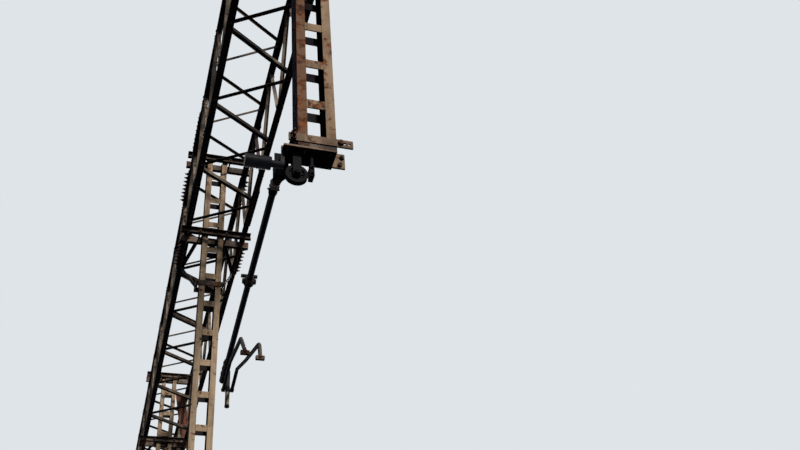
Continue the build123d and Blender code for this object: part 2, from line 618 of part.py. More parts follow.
post = Location((POST_ASIDES[0], POST_PLACES[0], 0))
save("pulley_stirrup", [post * pulley_stirrup()])
save("pulley", [post * pulley()])
save("wire_guide", [post * wire_guide()])
save("wire_sleeve", [post * wire_sleeve()])
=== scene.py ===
import json
import math

import bmesh
import bpy
from mathutils import Matrix, Vector


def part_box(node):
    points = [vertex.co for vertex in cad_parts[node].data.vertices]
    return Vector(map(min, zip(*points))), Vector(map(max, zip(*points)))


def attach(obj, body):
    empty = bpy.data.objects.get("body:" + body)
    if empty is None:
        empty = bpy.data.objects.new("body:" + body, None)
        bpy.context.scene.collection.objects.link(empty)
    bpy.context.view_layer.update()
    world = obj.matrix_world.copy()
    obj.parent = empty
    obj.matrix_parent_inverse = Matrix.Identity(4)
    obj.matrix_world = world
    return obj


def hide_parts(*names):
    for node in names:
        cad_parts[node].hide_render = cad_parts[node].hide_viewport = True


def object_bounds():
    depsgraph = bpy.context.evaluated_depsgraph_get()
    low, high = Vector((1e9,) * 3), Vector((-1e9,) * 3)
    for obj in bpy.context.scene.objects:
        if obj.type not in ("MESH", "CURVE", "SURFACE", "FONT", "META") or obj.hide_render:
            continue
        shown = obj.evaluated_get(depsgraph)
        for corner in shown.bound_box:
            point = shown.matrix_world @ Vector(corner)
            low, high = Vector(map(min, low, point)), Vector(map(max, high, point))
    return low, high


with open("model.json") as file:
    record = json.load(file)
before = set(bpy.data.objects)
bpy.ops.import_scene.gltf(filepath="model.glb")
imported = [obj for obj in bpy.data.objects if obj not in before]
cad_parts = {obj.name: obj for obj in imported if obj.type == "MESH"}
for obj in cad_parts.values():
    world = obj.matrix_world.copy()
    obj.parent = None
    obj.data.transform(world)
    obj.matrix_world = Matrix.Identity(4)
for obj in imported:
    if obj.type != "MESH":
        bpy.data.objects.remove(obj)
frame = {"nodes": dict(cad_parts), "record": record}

cad_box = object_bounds()
nodes = frame["nodes"]

# Camera
# The camera stands 0.9 m left of the crossbeam's middle and 1.57 m past the near column, and looks up along the
# crossbeam. The lens and the three angles come from the vanishing points of the chords and the posts.
PHOTO_WIDTH = 800.0
PHOTO_FOCAL = 880.6                  # in the photograph's pixels
SENSOR_WIDTH = 36.0
FARTHEST_SEEN = 200.0
EYE = Vector((-0.903, 1.57, 2.45))
HEADING = math.radians(21.387)
ELEVATION = math.radians(38.416)
ROLL = math.radians(6.10)

camera_data = bpy.data.cameras.new("camera")
camera_data.sensor_width = SENSOR_WIDTH
camera_data.lens = PHOTO_FOCAL / PHOTO_WIDTH * SENSOR_WIDTH
camera_data.clip_end = FARTHEST_SEEN
camera = bpy.data.objects.new("camera", camera_data)
bpy.context.scene.collection.objects.link(camera)
bpy.context.scene.camera = camera
camera.matrix_world = (
    Matrix.Translation(EYE)
    @ Matrix.Rotation(-HEADING, 4, "Z")
    @ Matrix.Rotation(math.pi / 2 + ELEVATION, 4, "X")
    @ Matrix.Rotation(-ROLL, 4, "Z")
)


# Light and floor
# A soft key lamp from the front and above lights the posts' faces, a weaker one from behind lights the back, and a
# low fill leaves the undersides in shade. The floor looks pale, but throws back only a little light.
def linear(text):
    """An sRGB colour written as hex, as the linear colour that shaders take."""
    channels = [int(text[i:i + 2], 16) / 255 for i in (1, 3, 5)]
    return tuple(c / 12.92 if c <= 0.04045 else ((c + 0.055) / 1.055) ** 2.4 for c in channels) + (1.0,)


def add(tree, kind, settings=None, links=None):
    """Adds a node. settings are its values by socket or property name, links its inputs by socket name."""
    node = tree.nodes.new(kind)
    for key, value in (settings or {}).items():
        if isinstance(key, int) or key in node.inputs:
            node.inputs[key].default_value = value
        else:
            setattr(node, key, value)
    for key, source in (links or {}).items():
        tree.links.new(source, node.inputs[key])
    return node


def shown_pale(tree, plain, pale):
    """Mixes two shaders: the pale one is what the camera, reflections and glass see."""
    path = add(tree, "ShaderNodeLightPath")
    seen = add(tree, "ShaderNodeMath", {"operation": "MAXIMUM"},
               {0: path.outputs["Is Camera Ray"], 1: path.outputs["Is Transmission Ray"]})
    seen = add(tree, "ShaderNodeMath", {"operation": "MAXIMUM"},
               {0: seen.outputs[0], 1: path.outputs["Is Glossy Ray"]})
    return add(tree, "ShaderNodeMixShader", None, {0: seen.outputs[0], 1: plain.outputs[0], 2: pale.outputs[0]})


def bare_material(name):
    """A new material with nothing in its node tree."""
    material = bpy.data.materials.new(name)
    material.use_nodes = True
    material.node_tree.nodes.clear()
    return material


BACKGROUND = "#dfe4e8"
FLOOR_SEEN = "#cfd2d4"
FLOOR_BOUNCE = "#3a3835"
FILL_COLOUR = "#dfe8f4"
FILL_STRENGTH = 0.13
FLOOR_SIZE = 70.0
LAMPS = (                            # name, colour, strength, direction and softness in degrees
    ("key", "#fff4e6", 3.3, (0.15, -0.78, 0.50), 5.0),
    ("back", "#f2f4ff", 1.6, (0.20, 0.85, 0.50), 12.0),
)

scene = bpy.context.scene
scene.view_settings.view_transform = "Standard"
world = bpy.data.worlds.new("studio")
scene.world = world
world.use_nodes = True
world.node_tree.nodes.clear()
fill = add(world.node_tree, "ShaderNodeBackground", {"Color": linear(FILL_COLOUR), "Strength": FILL_STRENGTH})
backdrop = add(world.node_tree, "ShaderNodeBackground", {"Color": linear(BACKGROUND), "Strength": 1.0})
mixed = shown_pale(world.node_tree, fill, backdrop)
add(world.node_tree, "ShaderNodeOutputWorld", None, {"Surface": mixed.outputs[0]})

for name, colour, strength, direction, softness in LAMPS:
    lamp_data = bpy.data.lights.new(name, "SUN")
    lamp_data.energy = strength
    lamp_data.angle = math.radians(softness)
    lamp_data.color = linear(colour)[:3]
    lamp = bpy.data.objects.new(name, lamp_data)
    scene.collection.objects.link(lamp)
    lamp.rotation_euler = Vector(direction).to_track_quat("Z", "Y").to_euler()

shape = bmesh.new()
bmesh.ops.create_grid(shape, x_segments=1, y_segments=1, size=FLOOR_SIZE / 2)
floor_middle = (0, (cad_box[0][1] + cad_box[1][1]) / 2, cad_box[0][2])
bmesh.ops.translate(shape, verts=shape.verts, vec=floor_middle)
floor_mesh = bpy.data.meshes.new("floor")
shape.to_mesh(floor_mesh)
shape.free()
floor = bpy.data.objects.new("floor", floor_mesh)
scene.collection.objects.link(floor)
floor_paint = bare_material("pale_floor")
tree = floor_paint.node_tree
dull = add(tree, "ShaderNodeBsdfDiffuse", {"Color": linear(FLOOR_BOUNCE)})
pale = add(tree, "ShaderNodeBsdfDiffuse", {"Color": linear(FLOOR_SEEN)})
mixed = shown_pale(tree, dull, pale)
add(tree, "ShaderNodeOutputMaterial", None, {"Surface": mixed.outputs[0]})
floor_mesh.materials.append(floor_paint)


# Crossbeam
# Four rolled steel angles laced with lighter angles on all sides, hot riveted, under many coats of old oil paint.
# The paint has chalked to tan; its near-black blotches are grime and painted shade, and all that faces down or to the
# left is painted shade.
MILLIMETRE = 0.001
X, Y, Z = Vector((1, 0, 0)), Vector((0, 1, 0)), Vector((0, 0, 1))
MIX_A, MIX_B = 6, 7                  # the two colour sockets of a Mix node
DIRT = "#5a4a40"
LEAK_STAIN = "#5c3c29"
DARK_RUST = "#33231b"
# the colour of painted shade, near-black with a painted blue reflection of the sky
SHADE_AND_SKY_BLUE = "#0d121f"
RUN_WIDTH = 0.05
RUN_LENGTH = 0.7
SPECK_WIDTH = 0.012
FLAKE_WIDTH = 0.03
FLAKE_HEIGHT = 1.5 * MILLIMETRE
RUST_ROUGHNESS = 0.92
SHADED_GLOSS = 0.005


def two_tone(tree, noise, low, low_colour, high, high_colour):
    """Colours a noise: one colour up to low, the other from high on."""
    ramp = add(tree, "ShaderNodeValToRGB", None, {"Fac": noise.outputs["Fac"]})
    ends = ramp.color_ramp.elements
    ends[0].position, ends[0].color = low, linear(low_colour)
    ends[1].position, ends[1].color = high, linear(high_colour)
    return ramp


def weathered_paint_with_shade(name, clean, grime_and_shade, rust, clean_share, rust_share, roughness, patch=0.09, shade_depth=0.85,
                    blotch=0.35, gloss=0.2, stain=None, shaded_inside=None):
    """Old oil paint on steel: chalky blotches and blotches of grime and shade, dark runs, rust patches and specks,
    and painted shade on what faces down or to the left and inside posts.
    """
    material = bare_material(name)
    tree = material.node_tree
    coordinates = add(tree, "ShaderNodeTexCoord")
    place = coordinates.outputs["Object"]
    # blotches of chalked paint and of grimy paint; on the crossbeam the grimy colour is so dark that it is also
    # painted shade
    blotches = add(tree, "ShaderNodeTexNoise", {"Scale": 1 / blotch, "Detail": 6.0, "Roughness": 0.64},
                   {"Vector": place})
    middle = 0.5 + (0.5 - clean_share) * 0.35
    ground = two_tone(tree, blotches, middle - 0.07, grime_and_shade, middle + 0.07, clean)
    # dirt has run down in streaks
    stretched = add(tree, "ShaderNodeMapping", {"Scale": (1 / RUN_WIDTH, 1 / RUN_WIDTH, 1 / RUN_LENGTH)},
                    {"Vector": place})
    run = add(tree, "ShaderNodeTexNoise", {"Scale": 1.0, "Detail": 4.0, "Roughness": 0.6},
              {"Vector": stretched.outputs[0]})
    dirt = add(tree, "ShaderNodeMapRange", {"From Min": 0.45, "From Max": 0.72, "To Min": 0.0, "To Max": 0.55},
               {"Value": run.outputs["Fac"]})
    dirty = add(tree, "ShaderNodeMix", {"data_type": "RGBA", "blend_type": "MULTIPLY", MIX_B: linear(DIRT)},
                {0: dirt.outputs[0], MIX_A: ground.outputs["Color"]})
    # rust breaks through in patches
    patches = add(tree, "ShaderNodeTexNoise", {"Scale": 1 / patch, "Detail": 9.0, "Roughness": 0.68},
                  {"Vector": place})
    amount = patches.outputs["Fac"]
    if stain:
        # an old leak has stained one flange brown, and it rusts more there
        stain_from, stain_to, stain_reach = stain
        across = add(tree, "ShaderNodeSeparateXYZ", None, {"Vector": place})
        side = add(tree, "ShaderNodeMapRange", {"From Min": stain_from, "From Max": stain_to},
                   {"Value": across.outputs["X"]})
        near = add(tree, "ShaderNodeMath", {"operation": "LESS_THAN", 1: stain_reach}, {0: across.outputs["Y"]})
        stained = add(tree, "ShaderNodeMath", {"operation": "MULTIPLY"}, {0: side.outputs[0], 1: near.outputs[0]})
        thin = add(tree, "ShaderNodeMath", {"operation": "MULTIPLY", 1: 0.8}, {0: stained.outputs[0]})
        dirty = add(tree, "ShaderNodeMix", {"data_type": "RGBA", MIX_B: linear(LEAK_STAIN)},
                    {0: thin.outputs[0], MIX_A: dirty.outputs[2]})
        more = add(tree, "ShaderNodeMath", {"operation": "MULTIPLY_ADD", 1: 0.05},
                   {0: stained.outputs[0], 2: amount})
        amount = more.outputs[0]
    edge = 0.68 - rust_share * 0.30
    share = add(tree, "ShaderNodeMapRange", {"From Min": edge, "From Max": edge + 0.06}, {"Value": amount})
    # specks are drawn 12 mm wide, so that they show from the ground
    speck = add(tree, "ShaderNodeTexNoise", {"Scale": 1 / SPECK_WIDTH, "Detail": 3.0}, {"Vector": place})
    specks = add(tree, "ShaderNodeMapRange", {"From Min": 0.64, "From Max": 0.72, "To Max": 0.7},
                 {"Value": speck.outputs["Fac"]})
    rusty = add(tree, "ShaderNodeMath", {"operation": "MAXIMUM"}, {0: share.outputs[0], 1: specks.outputs[0]})
    flakes = add(tree, "ShaderNodeTexNoise", {"Scale": 1 / FLAKE_WIDTH, "Detail": 5.0}, {"Vector": place})
    oxide = two_tone(tree, flakes, 0.38, DARK_RUST, 0.62, rust)
    colour = add(tree, "ShaderNodeMix", {"data_type": "RGBA"},
                 {0: rusty.outputs[0], MIX_A: dirty.outputs[2], MIX_B: oxide.outputs["Color"]})
    # painted shade: faces that look down or to the left turn near-black, with a painted blue sky reflection in it,
    # and lose their gloss
    facing = add(tree, "ShaderNodeSeparateXYZ", None, {"Vector": coordinates.outputs["Normal"]})
    lowest = add(tree, "ShaderNodeMath", {"operation": "MINIMUM"},
                 {0: facing.outputs["X"], 1: facing.outputs["Z"]})
    painted_shade = add(tree, "ShaderNodeMapRange",
                    {"From Min": -0.3, "From Max": -0.9, "To Min": 0.0, "To Max": shade_depth},
                    {"Value": lowest.outputs[0]})
    if shaded_inside:
        # the inside of a post gets the same painted shade as what faces down
        middle_x, half_x, middle_y, half_y = shaded_inside
        within = add(tree, "ShaderNodeSeparateXYZ", None, {"Vector": place})
        in_width = add(tree, "ShaderNodeMath", {"operation": "COMPARE", 1: middle_x, 2: half_x},
                       {0: within.outputs["X"]})
        in_depth = add(tree, "ShaderNodeMath", {"operation": "COMPARE", 1: middle_y, 2: half_y},
                       {0: within.outputs["Y"]})
        inside_shade = add(tree, "ShaderNodeMath", {"operation": "MULTIPLY"},
                   {0: in_width.outputs[0], 1: in_depth.outputs[0]})
        inside_shade = add(tree, "ShaderNodeMath", {"operation": "MULTIPLY", 1: shade_depth}, {0: inside_shade.outputs[0]})
        painted_shade = add(tree, "ShaderNodeMath", {"operation": "MAXIMUM"},
                        {0: painted_shade.outputs[0], 1: inside_shade.outputs[0]})
    shaded_colour = add(tree, "ShaderNodeMix", {"data_type": "RGBA", MIX_B: linear(SHADE_AND_SKY_BLUE)},
                {0: painted_shade.outputs[0], MIX_A: colour.outputs[2]})
    shine = add(tree, "ShaderNodeMapRange", {"From Max": shade_depth, "To Min": gloss, "To Max": SHADED_GLOSS},
                {"Value": painted_shade.outputs[0]})
    matt = add(tree, "ShaderNodeMapRange", {"To Min": roughness, "To Max": RUST_ROUGHNESS},
               {"Value": rusty.outputs[0]})
    # paint stands a little proud of the rust that has eaten it
    relief = add(tree, "ShaderNodeMath", {"operation": "MULTIPLY_ADD", 1: -0.7},
                 {0: rusty.outputs[0], 2: flakes.outputs["Fac"]})
    bump = add(tree, "ShaderNodeBump", {"Strength": 0.5, "Distance": FLAKE_HEIGHT}, {"Height": relief.outputs[0]})
    shader = add(tree, "ShaderNodeBsdfPrincipled", None,
                 {"Base Color": shaded_colour.outputs[2], "Roughness": matt.outputs[0], "Normal": bump.outputs["Normal"],
                  "Specular IOR Level": shine.outputs[0]})
    add(tree, "ShaderNodeOutputMaterial", None, {"Surface": shader.outputs["BSDF"]})
    return material


def dress(name, material):
    """Gives a node's every slot one material."""
    mesh = nodes[name].data
    if not mesh.materials:
        mesh.materials.append(material)
    for index in range(len(mesh.materials)):
        mesh.materials[index] = material


def corners_of(node):
    """The lowest and the highest corner of a node's box."""
    return tuple(Vector(corner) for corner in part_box(node))


def finish_piece(name, shape, material, body="portal", smooth=None, replaced=()):
    """Makes a piece of a finished bmesh, dresses it and lets it ride on its body."""
    bmesh.ops.recalc_face_normals(shape, faces=shape.faces)
    mesh = bpy.data.meshes.new(name)
    shape.to_mesh(mesh)
    shape.free()
    mesh.materials.append(material)
    if smooth:
        mesh.shade_smooth()
        mesh.set_sharp_from_angle(angle=math.radians(smooth))
    piece = bpy.data.objects.new(name, mesh)
    scene.collection.objects.link(piece)
    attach(piece, body)
    if replaced:
        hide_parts(*replaced)
    return piece


def stud(shape, seat, axis, radius, length, sides=6, taper=1.0):
    """A prism or cone that stands on its seat along an axis."""
    axis = Vector(axis).normalized()
    turn = axis.to_track_quat("Z", "Y").to_matrix().to_4x4()
    bmesh.ops.create_cone(
        shape, cap_ends=True, cap_tris=False, segments=sides, radius1=radius, radius2=radius * taper,
        depth=length, matrix=Matrix.Translation(Vector(seat) + axis * (length / 2)) @ turn)


def rivet(shape, seat, axis):
    """A rivet's round head, with few sides because there are hundreds of them."""
    stud(shape, seat, axis, radius=0.011, length=0.009, sides=8, taper=0.45)


RIVET_PLACES = (0.016, 0.046)        # along a bar, from its end
END_RIVET_INSET = 0.032              # from a chord's end
END_RIVET_GAUGES = (0.020, 0.050)    # from a chord's corner
BEAM_BAYS = 20
BAR_GAUGE = 0.022                    # from a chord's corner to a bar's end
BAR_SHIFT = 0.032                    # half the distance between two bars' ends at a node

# the near-black grimy colour of the chords' and lacing's paint is grime and painted shade
chord_paint = weathered_paint_with_shade("oil_paint_on_chords", "#7d7068", "#2b2420", "#6b4531", 0.46, 0.40, 0.62)
lacing_paint = weathered_paint_with_shade("oil_paint_on_lacing", "#82776a", "#2a221e", "#6b4531", 0.44, 0.36, 0.62,
                               blotch=0.5)
for name in ("bottom_left_chord", "bottom_right_chord", "top_left_chord", "top_right_chord", "near_end_frame",
             "far_end_frame"):
    dress(name, chord_paint)
for name in ("bottom_lacing", "right_lacing", "top_lacing", "left_lacing"):
    dress(name, lacing_paint)


def rivet_side(shape, origin, across, along, outward, width, pitch, bays, skip=None):
    """Rivets at the ends of one flat side's staggered bars, on the outer faces of both chords."""
    for bay in range(bays):
        for falling, start, end in (
                (False, bay * pitch + BAR_SHIFT, (bay + 0.5) * pitch - BAR_SHIFT),
                (True, (bay + 0.5) * pitch + BAR_SHIFT, (bay + 1) * pitch - BAR_SHIFT)):
            low = origin + across * BAR_GAUGE + along * (end if falling else start)
            high = origin + across * (width - BAR_GAUGE) + along * (start if falling else end)
            if skip and skip(low, high):
                continue
            bar = (high - low).normalized()
            for place in RIVET_PLACES:
                for point in (low + bar * place, high - bar * place):
                    rivet(shape, point, outward)


posts = {}
for name in ("post_1", "post_2", "post_3"):
    low, high = corners_of(f"{name}_channels")
    posts[name] = {"low": low, "high": high, "middle": (low + high) / 2}
POST_HALF_WIDTH = (posts["post_1"]["high"].x - posts["post_1"]["low"].x) / 2
POST_HALF_DEPTH = (posts["post_1"]["high"].y - posts["post_1"]["low"].y) / 2
FREE_ASIDE, FREE_ALONG = 0.02, 0.04  # what is kept free of lacing around a post
LACING_STEPS = 24


def meets_post(low, high):
    """No lacing bar runs through a drop post."""
    for post in posts.values():
        for step in range(LACING_STEPS + 1):
            away = low.lerp(high, step / LACING_STEPS) - post["middle"]
            if abs(away.x) < POST_HALF_WIDTH + FREE_ASIDE and abs(away.y) < POST_HALF_DEPTH + FREE_ALONG:
                return True
    return False


beam_low = corners_of("bottom_left_chord")[0]
beam_high = corners_of("top_right_chord")[1]
beam_width = beam_high.x - beam_low.x
beam_height = beam_high.z - beam_low.z
span = sum(corner.y for corner in corners_of("far_column_cap")) / 2
shape = bmesh.new()
for corner, across, outward, width, skip in (
        (Vector((beam_low.x, 0, beam_low.z)), X, -Z, beam_width, meets_post),
        (Vector((beam_high.x, 0, beam_low.z)), Z, X, beam_height, None),
        (Vector((beam_high.x, 0, beam_high.z)), -X, Z, beam_width, meets_post),
        (Vector((beam_low.x, 0, beam_high.z)), -Z, -X, beam_height, None)):
    rivet_side(shape, corner, across, Y, outward, width, span / BEAM_BAYS, BEAM_BAYS, skip)
for end_y in (beam_low.y + END_RIVET_INSET, beam_high.y - END_RIVET_INSET):
    for side_x, sign_x in ((beam_low.x, -1), (beam_high.x, 1)):
        for side_z, sign_z in ((beam_low.z, -1), (beam_high.z, 1)):
            for gauge in END_RIVET_GAUGES:
                rivet(shape, (side_x, end_y, side_z - sign_z * gauge), (sign_x, 0, 0))
                rivet(shape, (side_x - sign_x * gauge, end_y, side_z), (0, 0, sign_z))
finish_piece("crossbeam_rivets", shape, chord_paint)


# Bolted joint of the chords
# Angle covers over the chords' joint, riveted at one end and held past the middle post by a close row of hexagon
# bolts through each leg. The bolts have gone brown, and the covers wear the same old paint as the clamps.
COVER_PITCH = 0.072                  # of the rivets and of the bolts
COVER_GAUGE = 0.040                  # from a chord's corner to a row
COVER_THICKNESS = 0.008
COVER_LEG = 0.078
COVER_EDGE = 0.0015
JOINT_START = posts["post_2"]["middle"].y + 0.150
JOINT_BOLTS = 8
JOINT_BOLT = 0.018


def hexagon_bolt(shape, seat, axis, size, thread=1.2):
    """Washer, nut and the thread's end. size is the bolt's diameter, and thread the end's length in sizes."""
    axis = Vector(axis).normalized()
    seat = Vector(seat)
    washer = 0.18 * size
    stud(shape, seat - axis * MILLIMETRE, axis, 1.05 * size, washer + MILLIMETRE, sides=12)
    stud(shape, seat + axis * washer, axis, 0.95 * size, 0.8 * size, sides=6)
    if thread:
        stud(shape, seat + axis * 0.9 * size, axis, 0.48 * size, thread * size, sides=8, taper=0.85)


def plate(shape, place, size, edge, segments=1):
    """A flat piece with broken edges. place is the matrix of its middle."""
    made = bmesh.ops.create_cube(shape, size=1.0, matrix=place @ Matrix.Diagonal(tuple(size) + (1,)))
    edges = list({edge for vertex in made["verts"] for edge in vertex.link_edges})
    bmesh.ops.bevel(shape, geom=edges, offset=edge, segments=segments, profile=0.5, affect="EDGES", material=-1)


bolt_steel = weathered_paint_with_shade("rusted_bolts", "#6f5d50", "#3a2f29", "#6b432d", 0.45, 0.7, 0.7, patch=0.02)
clamp_paint = weathered_paint_with_shade("oil_paint_on_clamps", "#6f635b", "#2b2421", "#6a4330", 0.42, 0.5, 0.66)
dress("chord_splices", clamp_paint)
splice_low, splice_high = corners_of("chord_splices")
joint_rivets = int((splice_high.y - splice_low.y - COVER_PITCH / 2) / COVER_PITCH)
first_rivet = (splice_low.y + splice_high.y) / 2 - (joint_rivets - 1) / 2 * COVER_PITCH
joint_length = JOINT_BOLTS * COVER_PITCH
joint_middle = JOINT_START + joint_length / 2
rivets = bmesh.new()
bolts = bmesh.new()
covers = bmesh.new()
for side_x, sign_x in ((splice_low.x, -1), (splice_high.x, 1)):
    for side_z, sign_z in ((splice_low.z, -1), (splice_high.z, 1)):
        gauge_x, gauge_z = side_x - sign_x * COVER_GAUGE, side_z - sign_z * COVER_GAUGE
        for number in range(joint_rivets):
            along = first_rivet + number * COVER_PITCH
            rivet(rivets, (side_x, along, gauge_z), (sign_x, 0, 0))
            rivet(rivets, (gauge_x, along, side_z), (0, 0, sign_z))
        for number in range(JOINT_BOLTS):
            along = JOINT_START + (number + 0.5) * COVER_PITCH
            hexagon_bolt(bolts, (side_x, along, gauge_z), (sign_x, 0, 0), JOINT_BOLT)
            hexagon_bolt(bolts, (gauge_x, along, side_z), (0, 0, sign_z), JOINT_BOLT)
        for leg_x, leg_z in ((COVER_THICKNESS, COVER_LEG), (COVER_LEG, COVER_THICKNESS)):
            centre = (side_x - sign_x * leg_x / 2, joint_middle, side_z - sign_z * leg_z / 2)
            plate(covers, Matrix.Translation(centre), (leg_x, joint_length, leg_z), COVER_EDGE)
finish_piece("joint_covers", covers, clamp_paint)
finish_piece("joint_rivets", rivets, clamp_paint)
finish_piece("joint_bolts", bolts, bolt_steel)


# Drop posts
# Two rolled channels with their webs outside, joined in front and behind by short flats that are welded between the
# flanges. The tan paint has chalked and worn thin, and rust shows through in freckles and runs.
STAIN_FROM = posts["post_1"]["middle"].x - 0.03
STAIN_TO = STAIN_FROM - 0.03
STAIN_REACH = posts["post_1"]["middle"].y + 1.5
BEAD_RADIUS = 0.004
FACE_MARGIN = 0.004                  # between a post's outer faces and its inside, which is painted shade
POST_PAINTS = {                      # clean, grimy and rusty colours, and the shares of clean paint and of rust
    "post_1": ("#937e69", "#75604d", "#7d4c30", 0.6, 0.48),
    "post_2": ("#a3917b", "#84715e", "#704e38", 0.6, 0.38),
    "post_3": ("#a3917b", "#84715e", "#704e38", 0.6, 0.38),
}
shape = bmesh.new()
for name, wear in POST_PAINTS.items():
    middle = posts[name]["middle"]
    # the posts' faces that look down or to the left, and their insides, are painted shade
    post_paint = weathered_paint_with_shade(
        f"chalked_paint_on_{name}", *wear, 0.72, shade_depth=0.94,
        stain=(STAIN_FROM, STAIN_TO, STAIN_REACH) if name == "post_1" else None,
        shaded_inside=(middle.x, POST_HALF_WIDTH - FACE_MARGIN, middle.y, POST_HALF_DEPTH - FACE_MARGIN))
    dress(f"{name}_channels", post_paint)
    dress(f"{name}_battens", post_paint)
    batten_low, batten_high = corners_of(f"{name}_battens")
    # a front batten and the rear one a little above it have four levels of corners between them
    levels = sorted({round(vertex.co.z, 4) for vertex in nodes[f"{name}_battens"].data.vertices})
    for face_y, offset in ((batten_low.y, 0), (batten_high.y, 1)):
        for low_level, high_level in zip(levels[offset::4], levels[offset + 2::4]):
            for edge_x in (batten_low.x, batten_high.x):
                stud(shape, (edge_x, face_y, low_level), Z, BEAD_RADIUS, high_level - low_level)
finish_piece("batten_welds", shape, post_paint)


# Clamp frames and bands
# Channels across the chords in front of and behind each post, over and under the crossbeam, drawn together by tie
# bolts beside the post and bolted to the chords. A band of two flats sits lower on each post, with a tie bolt each
# side, and knee braces run from it and from the lower clamp to the chords.
CLAMP_TIE = 0.020
CLAMP_TIE_ASIDE = 0.035              # from a post's web
CLAMP_WEB = 0.006
HOOK_BOLT = 0.014
HOOK_BOLT_ALONG = 0.024              # from a post's face
HOOK_BOLT_GAUGE = 0.030              # from a chord's corner
BAND_BOLT = 0.016
BAND_BOLT_ASIDE = 0.0225             # from a post's web
BAND_THICKNESS = 0.012
BRACE_WIDTH = 0.045
BRACE_THICKNESS = 0.008
BRACE_REACH = 0.71                   # along the crossbeam, from the post's middle to the braces' node
BRACE_GAUGE = 0.045                  # from a chord's corner to the braces' node
BRACE_AT_CLAMP = (0.030, 0.020)      # aside from the post's web, and behind its rear face
BRACE_AT_BAND = (0.020, -0.010, 0.020)


def flat_bar(shape, start, end, face, width, thickness):
    """A flat bar between two points. face is the direction that its broad side looks in."""
    start, end = Vector(start), Vector(end)
    along = (end - start).normalized()
    side = along.cross(Vector(face)).normalized()
    basis = Matrix((side, side.cross(along), along)).transposed().to_4x4()
    plate(shape, Matrix.Translation((start + end) / 2) @ basis, (width, thickness, (end - start).length),
          min(thickness, width) * 0.15)


band_paint = weathered_paint_with_shade("grimy_paint_on_bands", "#574a42", "#1f1a18", "#5c3a2a", 0.38, 0.45, 0.7)
bolts = bmesh.new()
braces = bmesh.new()
for name, post in posts.items():
    dress(f"{name}_clamps", clamp_paint)
    dress(f"{name}_band", band_paint)
    middle = post["middle"]
    half_height = (beam_low.z - corners_of(f"{name}_clamps")[0].z) / 2
    for level, away in ((beam_low.z - half_height, -1), (beam_high.z + half_height, 1)):
        for sign_x in (-1, 1):
            tie_x = middle.x + sign_x * (POST_HALF_WIDTH + CLAMP_TIE_ASIDE)
            rod_start = (tie_x, middle.y - POST_HALF_DEPTH, level)
            stud(bolts, rod_start, Y, CLAMP_TIE / 2, 2 * POST_HALF_DEPTH, sides=10)
            for sign_y in (-1, 1):
                tie_y = middle.y + sign_y * (POST_HALF_DEPTH + CLAMP_WEB)
                hexagon_bolt(bolts, (tie_x, tie_y, level), (0, sign_y, 0), CLAMP_TIE)
        for chord_x in (beam_low.x + HOOK_BOLT_GAUGE, beam_high.x - HOOK_BOLT_GAUGE):
            for sign_y in (-1, 1):
                hook_y = middle.y + sign_y * (POST_HALF_DEPTH + HOOK_BOLT_ALONG)
                outer = level + away * half_height
                hexagon_bolt(bolts, (chord_x, hook_y, outer), (0, 0, away), HOOK_BOLT, 0.9)
                hexagon_bolt(bolts, (chord_x, hook_y, outer - away * CLAMP_WEB), (0, 0, -away), HOOK_BOLT, 0.6)
    band_level = sum(corner.z for corner in corners_of(f"{name}_band")) / 2
    for sign_x in (-1, 1):
        for sign_y in (-1, 1):
            seat = (middle.x + sign_x * (POST_HALF_WIDTH + BAND_BOLT_ASIDE),
                    middle.y + sign_y * (POST_HALF_DEPTH + BAND_THICKNESS), band_level)
            hexagon_bolt(bolts, seat, (0, sign_y, 0), BAND_BOLT)
        node = Vector((sign_x * (beam_width / 2 - BRACE_GAUGE), middle.y + BRACE_REACH,
                       beam_low.z - BRACE_THICKNESS / 2))
        web_x = middle.x + sign_x * POST_HALF_WIDTH
        rear_y = middle.y + POST_HALF_DEPTH
        clamp_end = (web_x + sign_x * BRACE_AT_CLAMP[0], rear_y + BRACE_AT_CLAMP[1], node.z)
        flat_bar(braces, node, clamp_end, Z, BRACE_WIDTH, BRACE_THICKNESS)
        band_end = (web_x + sign_x * BRACE_AT_BAND[0], rear_y + BRACE_AT_BAND[1], band_level + BRACE_AT_BAND[2])
        flat_bar(braces, node - Z * BRACE_THICKNESS, band_end, X, BRACE_WIDTH, BRACE_THICKNESS)
        hexagon_bolt(bolts, node - Z * BRACE_THICKNESS * 1.5, -Z, HOOK_BOLT, 0.8)
finish_piece("clamp_bolts", bolts, bolt_steel)
finish_piece("knee_braces", braces, lacing_paint)


# Rusted side plate
# The third post is stiffened by a broad steel plate as well, from beside its right web down to the crossbeam's lower
# chord. Its paint has gone, and it has rusted to a dull red-brown.
PLATE_WIDTH = 0.150
PLATE_THICKNESS = 0.008
PLATE_TOP_ASIDE = 0.075              # from the post's web
PLATE_TOP_RISE = 0.80                # over the crossbeam's underside
PLATE_FOOT_GAUGE = 0.045             # from the chord's corner
PLATE_FOOT_RISE = 0.02
rusted_plate = weathered_paint_with_shade("rusted_plate", "#6d4a41", "#4d3029", "#7b4a38", 0.5, 0.6, 0.8, shade_depth=0.5)
shape = bmesh.new()
middle = posts["post_3"]["middle"]
plate_y = middle.y - POST_HALF_DEPTH - PLATE_THICKNESS / 2
plate_top = (middle.x + POST_HALF_WIDTH + PLATE_TOP_ASIDE, plate_y, beam_low.z + PLATE_TOP_RISE)
plate_foot = (beam_width / 2 - PLATE_FOOT_GAUGE, plate_y, beam_low.z + PLATE_FOOT_RISE)
flat_bar(shape, plate_top, plate_foot, Y, PLATE_WIDTH, PLATE_THICKNESS)
finish_piece("rusted_side_plate", shape, rusted_plate)
